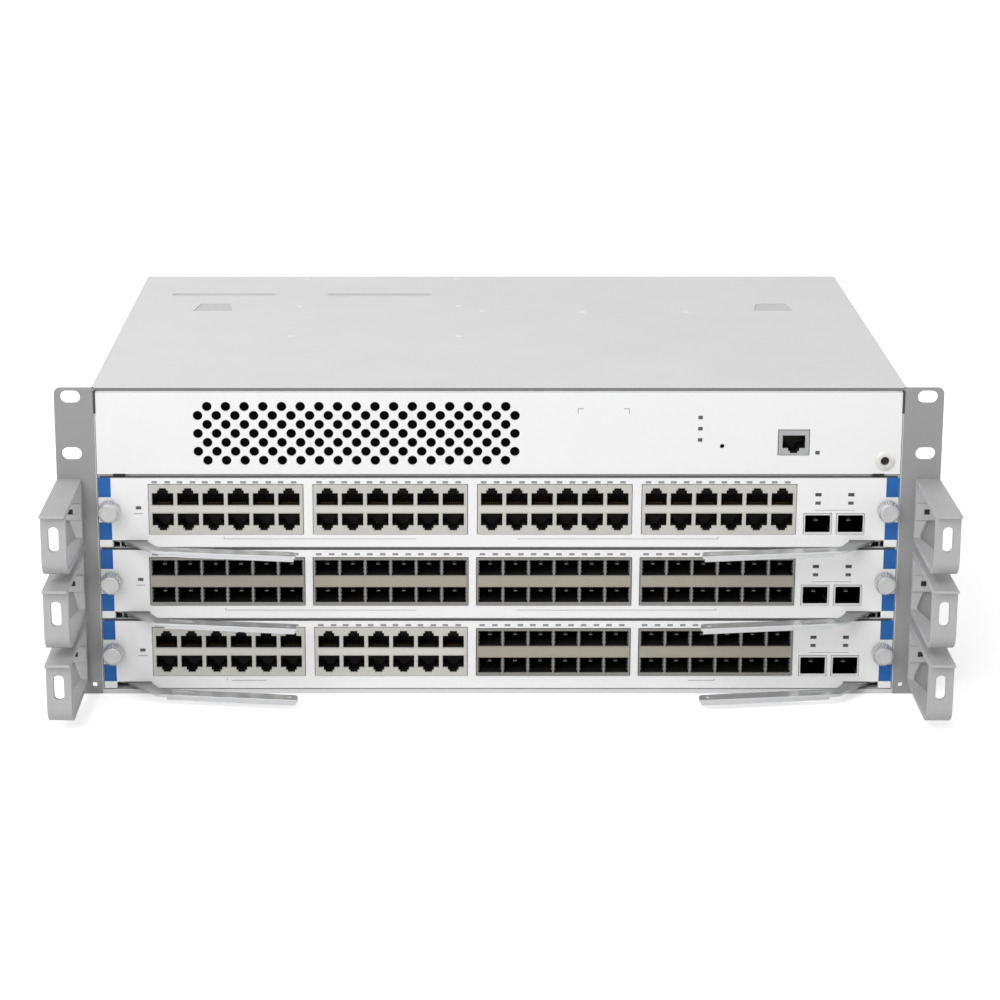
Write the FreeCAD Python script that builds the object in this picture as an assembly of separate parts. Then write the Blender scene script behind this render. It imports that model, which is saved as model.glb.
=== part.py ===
import FreeCAD, Part
import math
import os

# A rack-mounted chassis switch with three plug-in port cards.
# Millimetres. X runs across the front, Y from the front to the back, Z up.
# The origin is on the underside, at the middle of the front edge.

# Chassis
body_width = 442.0
body_depth = 310.0
bay_height = 48.8
wall = 1.5
cover_sheet = 1.2
seam = 0.3
hem_height = 2.6
hem_depth = 7.0
top_flange = 10.0
rear_fold = 6.5
cover_gap = 0.7
press_depth = 0.5
press_long = 65.6
press_wide = 9.0
press_corner = 3.0
press_y = 252.7
press_xs = (-167.5, -70.3)
tab_press_xs = (-170.8, 170.6)
tab_press_y = 214.0
tab_press_long = 24.0
tab_press_wide = 22.0
tab_press_taper = 3.0
vent_width = 6.0
vent_pitch = 36.0
vent_first = 66.0
vent_margin = 8.0

# Plug-in cards, numbered from the top
card_count = 3
card_height = 40.2
card_gap = 0.8
hem_gap = 0.6
face_gap = 0.5
face_sheet = 1.5
card_return = 10.5
card_sheet = 1.2
tray_lift = 0.8
tray_slack = 0.2
tray_fold = 12.0
board_lift = 5.9
board_thickness = 1.6
board_front = 4.0
board_margin = 1.0
package_count = 4
package_pitch = 80.0
package_size = 24.0
package_height = 2.4
package_y = 112.0
sink_size = 44.0
sink_height = 8.0
sink_y = 172.0
pillar_x = 170.0
pillar_start = 40.0
pillar_end_inset = 12.0
fan_space = 60.0

# Side flange that the card screws enter
screw_flange = 14.0
flange_set_back = 2.0
screw_inset = 6.5
screw_offset = 1.5
screw_shank = 2.0
screw_reach = 9.0
screw_head = 5.7
screw_head_sides = 12
screw_head_length = 8.6
screw_collar = 1.0
screw_collar_radius = 4.6
screw_clearance = 0.1
screw_opening = 7.0
small_sides = 10

# Ejector levers
lever_sheet = 1.5
lever_pivot_inset = 16.5
lever_pivot_back = 8.0
lever_pin = 2.5
lever_boss = 5.0
lever_bend_in = 17.0
lever_bend_out = 16.0
lever_tip_in = 93.0
lever_tip_out = 26.0
lever_width = 7.0
lever_arm_width = 9.0
lever_lip = 3.2
lever_lip_sheet = 1.2
lever_toe = 13.5
lever_corner = 3.0
lever_lip_inset = 4.0
lever_slot_inset = 14.0
lever_eye = 1.4
lever_eye_inset = 4.5
lever_slot_length = 13.0
lever_slot_width = 3.0
lever_notch_height = 3.8
lever_notch_reach = 19.3
lever_notch_inset = 7.2
lever_swing_space = 22.0
running_gap = 0.05
side_gap = 0.1

# Port blocks, two rows of six
block_margin = 24.8
block_count = 4
port_columns = 6
block_proud = 0.6
jack_key_width = 5.6
jack_key_height = 2.8
jack_depth = 14.0
jack_block_depth = 26.0
jack_block_gap = 5.6
jack_block_border = 0.8
jack_web = 2.1
jack_block_drop = 12.2
jack_row_offset = 0.1
jack_row_border = 7.1
jack_row_half_gap = 2.3
cage_depth = 40.0
cage_block_depth = 47.0
cage_block_gap = 4.8
cage_block_border = 0.45
cage_web = 1.15
cage_block_drop = 12.9
cage_row_offset = 0.3
cage_row_border = 4.95
cage_row_half_gap = 3.4

# Uplink cages
uplink_count = 2
uplink_room = 53.2
uplink_pitch = 18.0
uplink_inset = 26.0
uplink_width = 13.7
uplink_height = 9.7
uplink_wall = 0.7
uplink_floor = 1.1
uplink_depth = 48.0

# Small lights in the card faces
light_width = 3.0
light_height = 1.8
card_light_inset = 21.9
card_light_rise = 22.3
uplink_light_rise = 25.0

# Connectors between the cards and the backplane
connector_width = 60.0
connector_height = 14.0
connector_depth = 10.0
connector_spread = 180.0
connector_chamfer = 1.5
air_slot_spread = 140.0
air_slot_width = 32.0
air_slot_height = 20.0
air_slot_rise = 10.0
backplane_sheet = 2.4
backplane_inset = 24.0
bracket_reach = 29.5
rail_reach = 22.0
rail_sheet = 1.2

# Front panel and the bay behind it
panel_return = 10.5
grille_pitch = 10.14
grille_row_pitch = 5.03
grille_hole = 3.0
grille_sides = 4
grille_turn = 0.0
grille_left = 55.5
grille_columns = 18
grille_border = 8.2
panel_light_inset = 109.9
panel_light_pitch = 6.3
panel_light_count = 3
panel_light_drop = 14.6
panel_light_width = 2.2
panel_light_height = 1.7
reset_inset = 97.8
reset_rise = 16.2
reset_radius = 1.3
reset_hole = 1.2
reset_travel = 0.8
reset_set_back = 4.5
reset_wall = 2.7
reset_depth = 8.0
reset_bore = 6.5
reset_face = 2.1
reset_face_sheet = 1.2
small_light_inset = 45.8
management_inset = 58.9
management_width = 16.6
management_height = 13.8
management_depth = 21.0
management_port_rise = 3.9
management_board_lift = 8.3
management_board_left = 95.0
management_board_depth = 210.0
management_pillar_inset = 8.0
cooler_size = 40.0
cooler_height = 14.0
cooler_floor = 3.0
cooler_gaps = 5
standoff_radius = 2.8
ground_inset = 8.9
ground_rise = 7.9
ground_flange = 5.4
ground_flange_sheet = 1.0
ground_sleeve = 3.9
ground_bore = 2.1
ground_length = 20.0

# Power supplies
supply_count = 2
supply_width = 92.0
supply_pitch = 96.0
supply_left = 50.0
supply_length = 190.0
supply_rail_height = 7.0
supply_rail_sheet = 1.2
supply_stop = 1.5
supply_stop_sheet = 1.5
supply_stop_room = 3.5
supply_plug_depth = 6.0
supply_sheet = 1.5
supply_slots = 4
supply_slot_first = 12.0
supply_slot_pitch = 6.5
supply_slot_width = 3.5
supply_slot_border = 6.0
plug_width = 36.0
plug_rise = 6.0
plug_height = 10.0
socket_border = 2.0
socket_depth = 5.6
inlet_width = 27.0
inlet_border = 7.9
inlet_depth = 18.0
inlet_rim = 2.4
inlet_inset = 5.0
inlet_floor = 2.0
inlet_corner = 3.5
inlet_pins = ((-7.0, -2.0), (0.0, 2.0), (7.0, -2.0))
inlet_pin_width = 2.0
inlet_pin_height = 4.0
inlet_pin_length = 11.0
handle_border = 2.9
handle_reach = 24.0
handle_bar = 3.0
handle_depth = 9.0
handle_offset = 6.5
handle_corner = 5.0
latch_width = 8.0
latch_height = 6.0
latch_reach = 12.0
latch_depth = 7.0
latch_travel = 3.0
latch_inset = 1.5
latch_shoulder = 2.0
latch_taper = 0.8

# Fans behind the backplane
fan_count = 2
fan_pitch = 150.0
fan_radius = 48.6
fan_rim = 3.0
fan_tip_gap = 2.0
fan_hub = 21.0
fan_length = 38.0
fan_blades = 6
fan_blade_sheet = 2.0
fan_boss = 17.0
fan_pin = 3.0
fan_pin_inset = 10.0
fan_hub_inset = 5.0
fan_blade_length = 22.0
fan_blade_root = 3.0
fan_sides = 14
bore_sides = 20
fan_boss_depth = 5.0
fan_blade_turn = 42.0
fan_plate = 1.5
fan_plate_border = 5.0
strut_width = 3.0

# Rack ears and cable guides
ear_reach = 20.3
ear_sheet = 2.0
ear_leg = 60.0
ear_leg_margin = 12.0
ear_leg_corner = 6.0
ear_corner = 3.0
ear_slot_length = 10.9
ear_slot_width = 7.0
ear_slot_inset = 8.75
ear_slot_drop = 4.95
ear_slot_pitch = 31.75
ear_screw_count = 2
ear_slots = 2
jig_hole = 2.6
jig_rise = 5.3
jig_inset = 3.3
guide_width = 13.5
guide_reach = 70.0
guide_lip = 5.0
guide_lip_sheet = 1.5
guide_gap = 5.5
guide_rise = 3.3
guide_wall = 3.0
guide_nose_radius = 10.0
guide_facets = 3
guide_slot_width = 5.4
guide_slot_height = 13.7
guide_slot_drop = 7.4
guide_pad_height = 9.5
guide_pad_proud = 1.2
guide_clip = 3.0
guide_clip_inset = 4.9

# Fasteners
screw_hex = 3.2
screw_hex_height = 1.8
screw_hole = 1.7
screw_body = 1.6
ear_screw_margin = 12.0
ear_screw_y = 48.0

# Places that follow from the sizes above
side_x = body_width / 2
inner_x = side_x - wall
rear_y = body_depth
card_pitch = card_height + card_gap
lowest_card_z = hem_height + hem_gap
divider_z = lowest_card_z + card_count * card_pitch
body_height = divider_z + bay_height
deck_z = body_height - cover_sheet
bay_floor_z = divider_z + wall
face_half = inner_x - face_gap
screw_rise = card_height / 2 + screw_offset
block_pitch = (2 * face_half - block_margin - uplink_room) / block_count
block_first = block_margin + block_pitch / 2
jack_block_width = block_pitch - jack_block_gap
jack_block_height = card_height - jack_block_drop
jack_pitch = (jack_block_width - 2 * jack_block_border) / port_columns
jack_width = jack_pitch - jack_web
jack_height = jack_block_height / 2 - jack_row_border
jack_row_centre = jack_block_height / 2 + jack_row_offset
cage_block_width = block_pitch - cage_block_gap
cage_block_height = card_height - cage_block_drop
cage_pitch = (cage_block_width - 2 * cage_block_border) / port_columns
cage_width = cage_pitch - cage_web
cage_height = cage_block_height / 2 - cage_row_border
cage_row_centre = cage_block_height / 2 + cage_row_offset
guide_height = card_pitch - guide_gap
flange_x = inner_x - screw_flange
tray_half = flange_x - seam
screw_x = inner_x - screw_inset
pivot_x = inner_x - lever_pivot_inset
backplane_y = body_depth - fan_space
card_end_y = backplane_y - connector_depth - seam
panel_top_z = deck_z - cover_gap
panel_half = inner_x - seam
panel_light_x = inner_x - panel_light_inset
reset_x = inner_x - reset_inset
small_light_x = inner_x - small_light_inset
management_x = inner_x - management_inset
management_board_z = bay_floor_z + management_board_lift
management_floor_z = management_board_z + board_thickness
supply_z = bay_floor_z + seam
supply_top_z = deck_z - rear_fold - supply_stop_room
supply_front_y = rear_y - supply_length
inlet_height = supply_top_z - supply_z - 2 * inlet_border
handle_span = supply_top_z - supply_z - 2 * handle_border
fan_z = lowest_card_z + card_count * card_pitch / 2
fan_front_y = rear_y - fan_length
fan_bore = fan_radius + fan_tip_gap
fan_box_half_width = (fan_count - 1) / 2 * fan_pitch + fan_bore + fan_rim
fan_box_half_height = fan_bore + fan_rim
ear_x = side_x + ear_reach


def card_bottom(number):
    """Height of a card's lower edge; card 1 is the top one."""
    return lowest_card_z + (card_count - number) * card_pitch


def block(x0, x1, y0, y1, z0, z1):
    """A box between two corners, given in any order."""
    low = FreeCAD.Vector(min(x0, x1), min(y0, y1), min(z0, z1))
    return Part.makeBox(abs(x1 - x0), abs(y1 - y0), abs(z1 - z0), low)


def place(axis, level, a, b):
    """The point with plane coordinates a and b on the plane at this level of an axis."""
    if axis == "x":
        return FreeCAD.Vector(level, a, b)
    if axis == "y":
        return FreeCAD.Vector(a, level, b)
    return FreeCAD.Vector(a, b, level)


def corner_arc(before, corner, after, radius):
    """Start, middle and end of the arc that rounds a corner."""
    a = FreeCAD.Vector(before[0] - corner[0], before[1] - corner[1], 0).normalize()
    b = FreeCAD.Vector(after[0] - corner[0], after[1] - corner[1], 0).normalize()
    half = a.getAngle(b) / 2
    tip = FreeCAD.Vector(corner[0], corner[1], 0)
    inward = (a + b).normalize()
    centre = tip + inward * (radius / math.sin(half))
    run = radius / math.tan(half)
    return tip + a * run, centre - inward * radius, tip + b * run


def outline(points, radii, axis, level):
    """A closed wire through plane points, each corner rounded by its own radius."""
    count = len(points)
    arcs = [
        corner_arc(points[i - 1], points[i], points[(i + 1) % count], radii[i])
        for i in range(count)
    ]
    edges = []
    for i in range(count):
        start, middle, end = [place(axis, level, p.x, p.y) for p in arcs[i]]
        if radii[i] > 0:
            edges.append(Part.Arc(start, middle, end).toShape())
        following = arcs[(i + 1) % count][0]
        following = place(axis, level, following.x, following.y)
        if end.distanceToPoint(following) > 1e-6:
            edges.append(Part.makeLine(end, following))
    return Part.Wire(edges)


def prism(points, axis, start, end, radii=None):
    """A plane outline carried along an axis from one level to another."""
    wire = outline(points, radii or [0.0] * len(points), axis, start)
    way = place(axis, end - start, 0, 0)
    return Part.Face(wire).extrude(way)


def polygon(a, b, radius, sides, axis, start, end, turn=0.0):
    """A prism with a regular outline."""
    points = [
        (
            a + radius * math.cos(turn + 2 * math.pi * i / sides),
            b + radius * math.sin(turn + 2 * math.pi * i / sides),
        )
        for i in range(sides)
    ]
    return prism(points, axis, start, end)


def around(a, b, radius, axis, start, end):
    """A many-sided cutter that just clears a round bar of this radius."""
    return polygon(a, b, radius / math.cos(math.pi / small_sides), small_sides, axis, start, end)


def faceted(points, radii, steps):
    """The outline with each rounded corner replaced by short straight runs."""
    result = []
    count = len(points)
    for i in range(count):
        if radii[i] == 0:
            result.append(points[i])
            continue
        start, middle, end = corner_arc(points[i - 1], points[i], points[(i + 1) % count], radii[i])
        arc = Part.Arc(start, middle, end).toShape()
        result += [(p.x, p.y) for p in arc.discretize(Number=steps + 1)]
    return result


def slot(a, b, length, width, axis, start, end):
    """A round-ended slot, long along the plane's first coordinate."""
    points = [
        (a - length / 2, b - width / 2),
        (a + length / 2, b - width / 2),
        (a + length / 2, b + width / 2),
        (a - length / 2, b + width / 2),
    ]
    return prism(points, axis, start, end, [width / 2] * 4)


def pointed_slot(x, y, length, width, start, end):
    """An upright cutter, long along X, with pointed ends."""
    half = width / 2
    flat = length / 2 - half
    points = [
        (x - flat, y - half),
        (x + flat, y - half),
        (x + length / 2, y),
        (x + flat, y + half),
        (x - flat, y + half),
        (x - length / 2, y),
    ]
    return prism(points, "z", start, end)


def sided(shape, side):
    """The shape as drawn for the right-hand side, or its mirror image for the left."""
    if side > 0:
        return shape
    return shape.mirror(FreeCAD.Vector(0, 0, 0), FreeCAD.Vector(1, 0, 0))


def joined(solids):
    """One solid out of several that touch or cross."""
    return solids[0].fuse(solids[1:]).removeSplitter()


def save(name, shapes):
    """Write one node; a list becomes a group of separate solids."""
    if not isinstance(shapes, list):
        shapes = [shapes]
    solids = [solid for shape in shapes for solid in shape.Solids]
    kept = solids[0] if len(solids) == 1 else Part.makeCompound(solids)
    kept.exportStep("parts/" + name + ".step")


# Chassis


def side_wall():
    """Right-hand wall with its folded flanges and cooling slots."""
    pieces = [
        block(inner_x, side_x, 0, rear_y, 0, deck_z),
        block(inner_x - top_flange, inner_x, panel_return + face_sheet + seam, rear_y, deck_z - wall, deck_z),
        block(flange_x, inner_x, flange_set_back, flange_set_back + wall, 0, divider_z),
        block(
            inner_x - bracket_reach,
            inner_x,
            backplane_y + backplane_sheet,
            backplane_y + backplane_sheet + wall,
            0,
            divider_z,
        ),
    ]
    cuts = []
    for number in range(1, card_count + 1):
        z = card_bottom(number)
        cuts.append(block(flange_x - 1, inner_x, 0, hem_depth, z - hem_gap, z + lever_notch_height + seam))
        window = screw_opening / 2
        middle = z + screw_rise
        cuts.append(block(screw_x - window, screw_x + window, 0, hem_depth, middle - window, middle + window))
        cuts += side_slots(z)
    for z in ear_screw_heights():
        cuts.append(polygon(ear_screw_y, z, screw_hole, 6, "x", inner_x - 1, side_x + 1))
    return joined(pieces).cut(cuts)


def side_slots(z):
    """One row of upright cooling slots beside a card."""
    low = z + vent_margin
    high = z + card_height - vent_margin
    count = int((backplane_y - vent_pitch / 2 - vent_first) // vent_pitch) + 1
    starts = [vent_first + i * vent_pitch - vent_width / 2 for i in range(count)]
    return [block(inner_x - 1, side_x + 1, y, y + vent_width, low, high) for y in starts]


def supply_x(index):
    """Middle of a power supply."""
    return -inner_x + supply_left + supply_width / 2 + index * supply_pitch


def rear_wall():
    """Back of the chassis, open for the supplies and the fans."""
    plate = block(-inner_x, inner_x, rear_y - wall, rear_y, 0, deck_z)
    cuts = [
        block(
            -fan_box_half_width - seam,
            fan_box_half_width + seam,
            rear_y - 2 * wall,
            rear_y + wall,
            fan_z - fan_box_half_height - seam,
            fan_z + fan_box_half_height + seam,
        )
    ]
    for index in range(supply_count):
        x = supply_x(index)
        half = supply_width / 2 + seam
        cuts.append(block(x - half, x + half, rear_y - 2 * wall, rear_y + wall, bay_floor_z, supply_top_z + seam))
    return plate.cut(cuts)


def chassis_base():
    """Floor, side walls and back, folded from one sheet, with a rolled front edge."""
    floor = block(-side_x, side_x, 0, rear_y, 0, wall)
    hem = block(-inner_x, inner_x, 0, hem_depth, 0, hem_height)
    right = side_wall()
    return joined([floor, hem, right, sided(right, -1), rear_wall()])


def top_cover():
    """Flat lid with a rear fold and shallow pressed fields."""
    plate = block(-side_x, side_x, 0, rear_y + cover_sheet, deck_z, body_height)
    fold_z = deck_z - rear_fold
    fold = block(-inner_x, inner_x, rear_y, rear_y + cover_sheet, fold_z, deck_z)
    cuts = [pressed_field(x) for x in press_xs] + [pressed_tab(x) for x in tab_press_xs]
    return joined([plate, fold]).cut(cuts)


def pressed_field(x):
    """Long shallow field with cut corners."""
    long_half = press_long / 2
    wide_half = press_wide / 2
    short = long_half - press_corner
    narrow = wide_half - press_corner
    points = [
        (x - short, press_y - wide_half),
        (x + short, press_y - wide_half),
        (x + long_half, press_y - narrow),
        (x + long_half, press_y + narrow),
        (x + short, press_y + wide_half),
        (x - short, press_y + wide_half),
        (x - long_half, press_y + narrow),
        (x - long_half, press_y - narrow),
    ]
    return prism(points, "z", body_height - press_depth, body_height + 1)


def pressed_tab(x):
    """Shallow field that narrows towards the back."""
    half = tab_press_long / 2
    near = tab_press_y - tab_press_wide / 2
    far = tab_press_y + tab_press_wide / 2
    narrow = half - tab_press_taper
    points = [(x - half, near), (x + half, near), (x + narrow, far), (x - narrow, far)]
    return prism(points, "z", body_height - press_depth, body_height + 1)


def rear_opening_rails():
    """Folded ribs that keep each supply on its line."""
    ribs = []
    for index in range(supply_count):
        for side in (-1, 1):
            outer = supply_x(index) + side * (supply_width / 2 + seam)
            ribs.append(
                block(
                    outer,
                    outer + side * supply_rail_sheet,
                    supply_front_y,
                    rear_y - wall,
                    bay_floor_z - wall / 2,
                    bay_floor_z + supply_rail_height,
                )
            )
    return ribs


def bay_divider():
    """Shelf between the cards and the upper bay, with riveting flanges at both sides."""
    front = panel_return + face_sheet + seam
    shelf = block(-inner_x, inner_x, front, rear_y - wall, divider_z, bay_floor_z)
    flange = block(inner_x - wall, inner_x, front, rear_y - wall, divider_z, bay_floor_z + top_flange)
    return joined([shelf, flange, sided(flange, -1)] + rear_opening_rails())


def card_rails():
    """An angle at each side under every card."""
    rails = []
    for number in range(1, card_count + 1):
        top = card_bottom(number) + tray_lift - tray_slack
        start = lever_swing_space
        end = backplane_y - seam
        points = [
            (inner_x - rail_reach, top - rail_sheet),
            (inner_x, top - rail_sheet),
            (inner_x, top + top_flange),
            (inner_x - rail_sheet, top + top_flange),
            (inner_x - rail_sheet, top),
            (inner_x - rail_reach, top),
        ]
        angle = prism(points, "y", start, end)
        rails += [angle, sided(angle, -1)]
    return rails


def backplane():
    """Upright board with two sockets for each card and air slots between them."""
    half = inner_x - backplane_inset
    low = lowest_card_z + tray_lift
    high = divider_z - card_gap
    end = backplane_y + backplane_sheet
    board = block(-half, half, backplane_y, end, low, high)
    cuts = []
    sockets = []
    wide = air_slot_width / 2
    for number in range(1, card_count + 1):
        z = card_bottom(number)
        for x in (-air_slot_spread, 0.0, air_slot_spread):
            slot_low = z + air_slot_rise
            cuts.append(block(x - wide, x + wide, backplane_y - 1, end + 1, slot_low, slot_low + air_slot_height))
        for side in (-1, 1):
            x = side * connector_spread / 2
            sockets.append(connector(x, z, backplane_y - connector_depth, backplane_y))
    return [board.cut(cuts)] + sockets


def connector(x, z, start, end):
    """Board connector with chamfered upper edges."""
    low = z + board_lift + board_thickness
    high = low + connector_height
    half = connector_width / 2
    cut = connector_chamfer
    points = [
        (x - half, low),
        (x + half, low),
        (x + half, high - cut),
        (x + half - cut, high),
        (x - half + cut, high),
        (x - half, high - cut),
    ]
    return prism(points, "y", start, end)


# Front panel and what it carries


def grille_holes(start, end):
    """Staggered rows of punched holes; every second row has one hole more."""
    low = divider_z + grille_border
    high = panel_top_z - grille_border
    rows = int((high - low) // grille_row_pitch) + 1
    holes = []
    for row in range(rows):
        z = low + row * grille_row_pitch
        shorter = row % 2 == 0
        columns = grille_columns - 1 if shorter else grille_columns
        first = -panel_half + grille_left + (grille_pitch / 2 if shorter else 0.0)
        for column in range(columns):
            x = first + column * grille_pitch
            holes.append(polygon(x, z, grille_hole, grille_sides, "y", start, end, grille_turn))
    return holes


def panel_lights():
    """Middle of each status light in the panel, as X and Z."""
    top = panel_top_z - panel_light_drop
    places = [(panel_light_x, top - i * panel_light_pitch) for i in range(panel_light_count)]
    return places


def front_panel():
    """Shallow folded tray with the grille and the openings for its fittings."""
    thick = face_sheet
    outer = block(-panel_half, panel_half, 0, thick + panel_return, divider_z, panel_top_z)
    hollow = block(
        -panel_half + thick,
        panel_half - thick,
        thick,
        thick + panel_return + 1,
        divider_z + thick,
        panel_top_z - thick,
    )
    panel = outer.cut(hollow)
    half = panel_light_width / 2 + side_gap
    rise = panel_light_height / 2 + side_gap
    cuts = grille_holes(-1, thick + 1)
    for x, z in panel_lights():
        cuts.append(block(x - half, x + half, -1, thick + 1, z - rise, z + rise))
    x, z = small_light()
    cuts.append(block(x - half, x + half, -1, thick + 1, z - rise, z + rise))
    cuts.append(polygon(reset_x, divider_z + reset_rise, reset_hole, small_sides, "y", -1, thick + 1))
    jack_half = management_width / 2 + seam
    low = management_floor_z - seam
    cuts.append(
        block(
            management_x - jack_half,
            management_x + jack_half,
            -1,
            thick + 1,
            low,
            low + management_height + 2 * seam,
        )
    )
    ground = (inner_x - ground_inset, divider_z + ground_rise)
    cuts.append(polygon(ground[0], ground[1], ground_sleeve + side_gap, 6, "y", -1, thick + 1))
    return panel.cut(cuts)


def small_light():
    """Middle of the light beside the management jack."""
    return small_light_x, management_floor_z + panel_light_height / 2 + 0.3


def status_lights():
    """Clear light pipes that stand on the management board and end flush in the panel."""
    half = panel_light_width / 2
    rise = panel_light_height / 2
    back = face_sheet + panel_return + seam
    solids = []
    fingers = [block(x - half, x + half, 0, back + 3, z - rise, z + rise) for x, z in panel_lights()]
    top = max(z for x, z in panel_lights()) + rise
    start = panel_light_x - half
    post = block(start, start + panel_light_width, back, back + 3, management_floor_z, top)
    solids.append(joined([post] + fingers))
    x, z = small_light()
    foot = block(x - half, x + half, back, back + 3, management_floor_z, z + rise)
    pipe = block(x - half, x + half, 0, back + 3, z - rise, z + rise)
    solids.append(joined([foot, pipe]))
    return solids


def management_board():
    """Control board on square pillars, with a finned cooler and the reset switch's housing."""
    left = management_board_left
    right = inner_x - ground_inset - ground_flange - 1.0
    front = board_front
    back = front + management_board_depth
    solids = [block(left, right, front, back, management_board_z, management_floor_z)]
    inset = management_pillar_inset
    for x in (left + inset, right - inset):
        for y in (front + 2 * inset, back - inset):
            solids.append(polygon(x, y, standoff_radius, 4, "z", bay_floor_z, management_board_z))
    solids.append(cooler((left + right) / 2, (front + back) / 2))
    solids.append(reset_housing())
    return solids


def cooler(x, y):
    """Square finned block on the control board."""
    half = cooler_size / 2
    low = management_floor_z
    high = low + cooler_height
    base = block(x - half, x + half, y - half, y + half, low, high)
    pitch = cooler_size / (cooler_gaps + 0.5)
    first = x - half + pitch / 2
    floor = low + cooler_floor
    gaps = [
        block(first + i * pitch, first + (i + 0.5) * pitch, y - half - 1, y + half + 1, floor, high + 1)
        for i in range(cooler_gaps)
    ]
    return base.cut(gaps)


def reset_housing():
    """Block with the blind square guide that the reset button runs in."""
    z = divider_z + reset_rise
    front = reset_front()
    half = reset_radius + reset_wall
    body = block(reset_x - half, reset_x + half, front, front + reset_depth, management_floor_z, z + half)
    room = reset_radius + side_gap
    bore = block(reset_x - room, reset_x + room, front - 1, front + reset_bore, z - room, z + room)
    return body.cut(bore)


def reset_front():
    """Front of the reset switch's housing."""
    return face_sheet + reset_set_back


def reset_button():
    """Plunger behind the pinhole, with a wider touch face."""
    z = divider_z + reset_rise
    front = reset_front()
    shoulder = front - reset_travel - side_gap
    stem_end = front + reset_bore - reset_travel - side_gap
    stem = polygon(reset_x, z, reset_radius, small_sides, "y", shoulder, stem_end)
    face = polygon(reset_x, z, reset_face, small_sides, "y", shoulder - reset_face_sheet, shoulder)
    return joined([stem, face])


def jack_pocket(x, z, key_way, start, depth):
    """Space of one jack: a wide mouth with a narrower key above or below it."""
    half = jack_width / 2
    key = jack_key_width / 2
    far = z + key_way * jack_height
    tip = far + key_way * jack_key_height
    points = [
        (x - half, z),
        (x + half, z),
        (x + half, far),
        (x + key, far),
        (x + key, tip),
        (x - key, tip),
        (x - key, far),
        (x - half, far),
    ]
    return prism(points, "y", start - 1, start + depth)


def management_jack():
    """Single shielded jack with its key at the bottom."""
    half = management_width / 2
    low = management_floor_z
    front = -block_proud
    body = block(
        management_x - half, management_x + half, front, front + management_depth, low, low + management_height
    )
    mouth = low + management_port_rise + jack_height
    return body.cut(jack_pocket(management_x, mouth, -1, front, jack_depth))


def ground_jack():
    """Flanged metal socket for a wrist strap's plug, on a hexagonal sleeve."""
    x = inner_x - ground_inset
    z = divider_z + ground_rise
    flange = polygon(x, z, ground_flange, screw_head_sides, "y", -ground_flange_sheet, 0)
    sleeve = polygon(x, z, ground_sleeve, 6, "y", 0, ground_length)
    bore = around(x, z, ground_bore, "y", -ground_flange_sheet - 1, ground_length + 1)
    return joined([flange, sleeve]).cut(bore)


# Cards


def block_centres():
    """Middle of each port block across the card."""
    first = -face_half + block_first
    last = face_half - uplink_inset - (uplink_count - 1) * uplink_pitch - uplink_width / 2 - block_pitch / 2
    count = int((last - first) // block_pitch) + 1
    return [first + i * block_pitch for i in range(count)]


def uplink_centres():
    """Middle of each uplink cage."""
    last = face_half - uplink_inset
    return [last - (uplink_count - 1 - i) * uplink_pitch for i in range(uplink_count)]


def card_layout(number):
    """Which blocks are jacks and which are cages: jacks on top, cages in the middle, both below."""
    centres = block_centres()
    half = len(centres) // 2
    if number % 3 == 1:
        return centres, []
    if number % 3 == 2:
        return [], centres
    return centres[:half], centres[half:]


def faceplate(number):
    """Folded front of a card with every opening, the screw holes and the lever notches."""
    z = card_bottom(number)
    top = z + card_height
    end = face_sheet + card_return
    pieces = [
        block(-face_half, face_half, 0, face_sheet, z, top),
        block(-tray_half, tray_half, 0, end, top - card_sheet, top),
        block(-notch_inner(), notch_inner(), 0, end, z, z + tray_lift),
    ]
    cuts = []
    for side in (-1, 1):
        cuts.append(around(side * screw_x, z + screw_rise, screw_shank + screw_clearance, "y", -1, face_sheet + 1))
        notch_outer = face_half - lever_notch_inset
        cuts.append(
            block(side * notch_inner(), side * notch_outer, -1, face_sheet + 1, z - 1, z + lever_notch_height)
        )
    cuts += face_openings(number)
    return joined(pieces).cut(cuts)


def notch_inner():
    """Inner end of a lever notch."""
    return face_half - lever_notch_inset - lever_notch_reach


def face_openings(number):
    """Openings for the port blocks, the uplink cages and the lights."""
    z = card_bottom(number)
    floor = z + board_lift + board_thickness
    jacks, cages = card_layout(number)
    cuts = []
    for centres, width, height in (
        (jacks, jack_block_width, jack_block_height),
        (cages, cage_block_width, cage_block_height),
    ):
        for x in centres:
            half = width / 2 + seam
            cuts.append(block(x - half, x + half, -1, face_sheet + 1, floor - seam, floor + height + seam))
    lights = [(-face_half + card_light_inset, z + card_light_rise)]
    for x in uplink_centres():
        half = uplink_width / 2 + uplink_wall + seam
        high = floor + uplink_floor + uplink_height + uplink_wall + seam
        cuts.append(block(x - half, x + half, -1, face_sheet + 1, floor - seam, high))
        lights.append((x, z + uplink_light_rise))
    for x, light_z in lights:
        half = light_width / 2
        rise = light_height / 2
        cuts.append(block(x - half, x + half, -1, face_sheet + 1, light_z - rise, light_z + rise))
    return cuts


def tray(number):
    """Card floor with side folds, board pillars and the two lever pins."""
    z = card_bottom(number)
    low = z + tray_lift
    high = low + card_sheet
    pieces = [block(-tray_half, tray_half, face_sheet, card_end_y, low, high)]
    for side in (-1, 1):
        edge = side * tray_half
        inner = side * (tray_half - card_sheet)
        pieces.append(block(edge, inner, lever_swing_space, card_end_y, low, high + tray_fold))
        pin_top = lever_floor(number) + lever_sheet + seam
        pieces.append(polygon(side * pivot_x, lever_pivot_back, lever_pin, small_sides, "z", low, pin_top))
        for y in (pillar_start, card_end_y - pillar_end_inset):
            pieces.append(polygon(side * pillar_x, y, standoff_radius, 4, "z", low, z + board_lift))
    return joined(pieces)


def lever_floor(number):
    """Underside of a lever's plate."""
    return card_bottom(number) + tray_lift + card_sheet + side_gap


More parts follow.
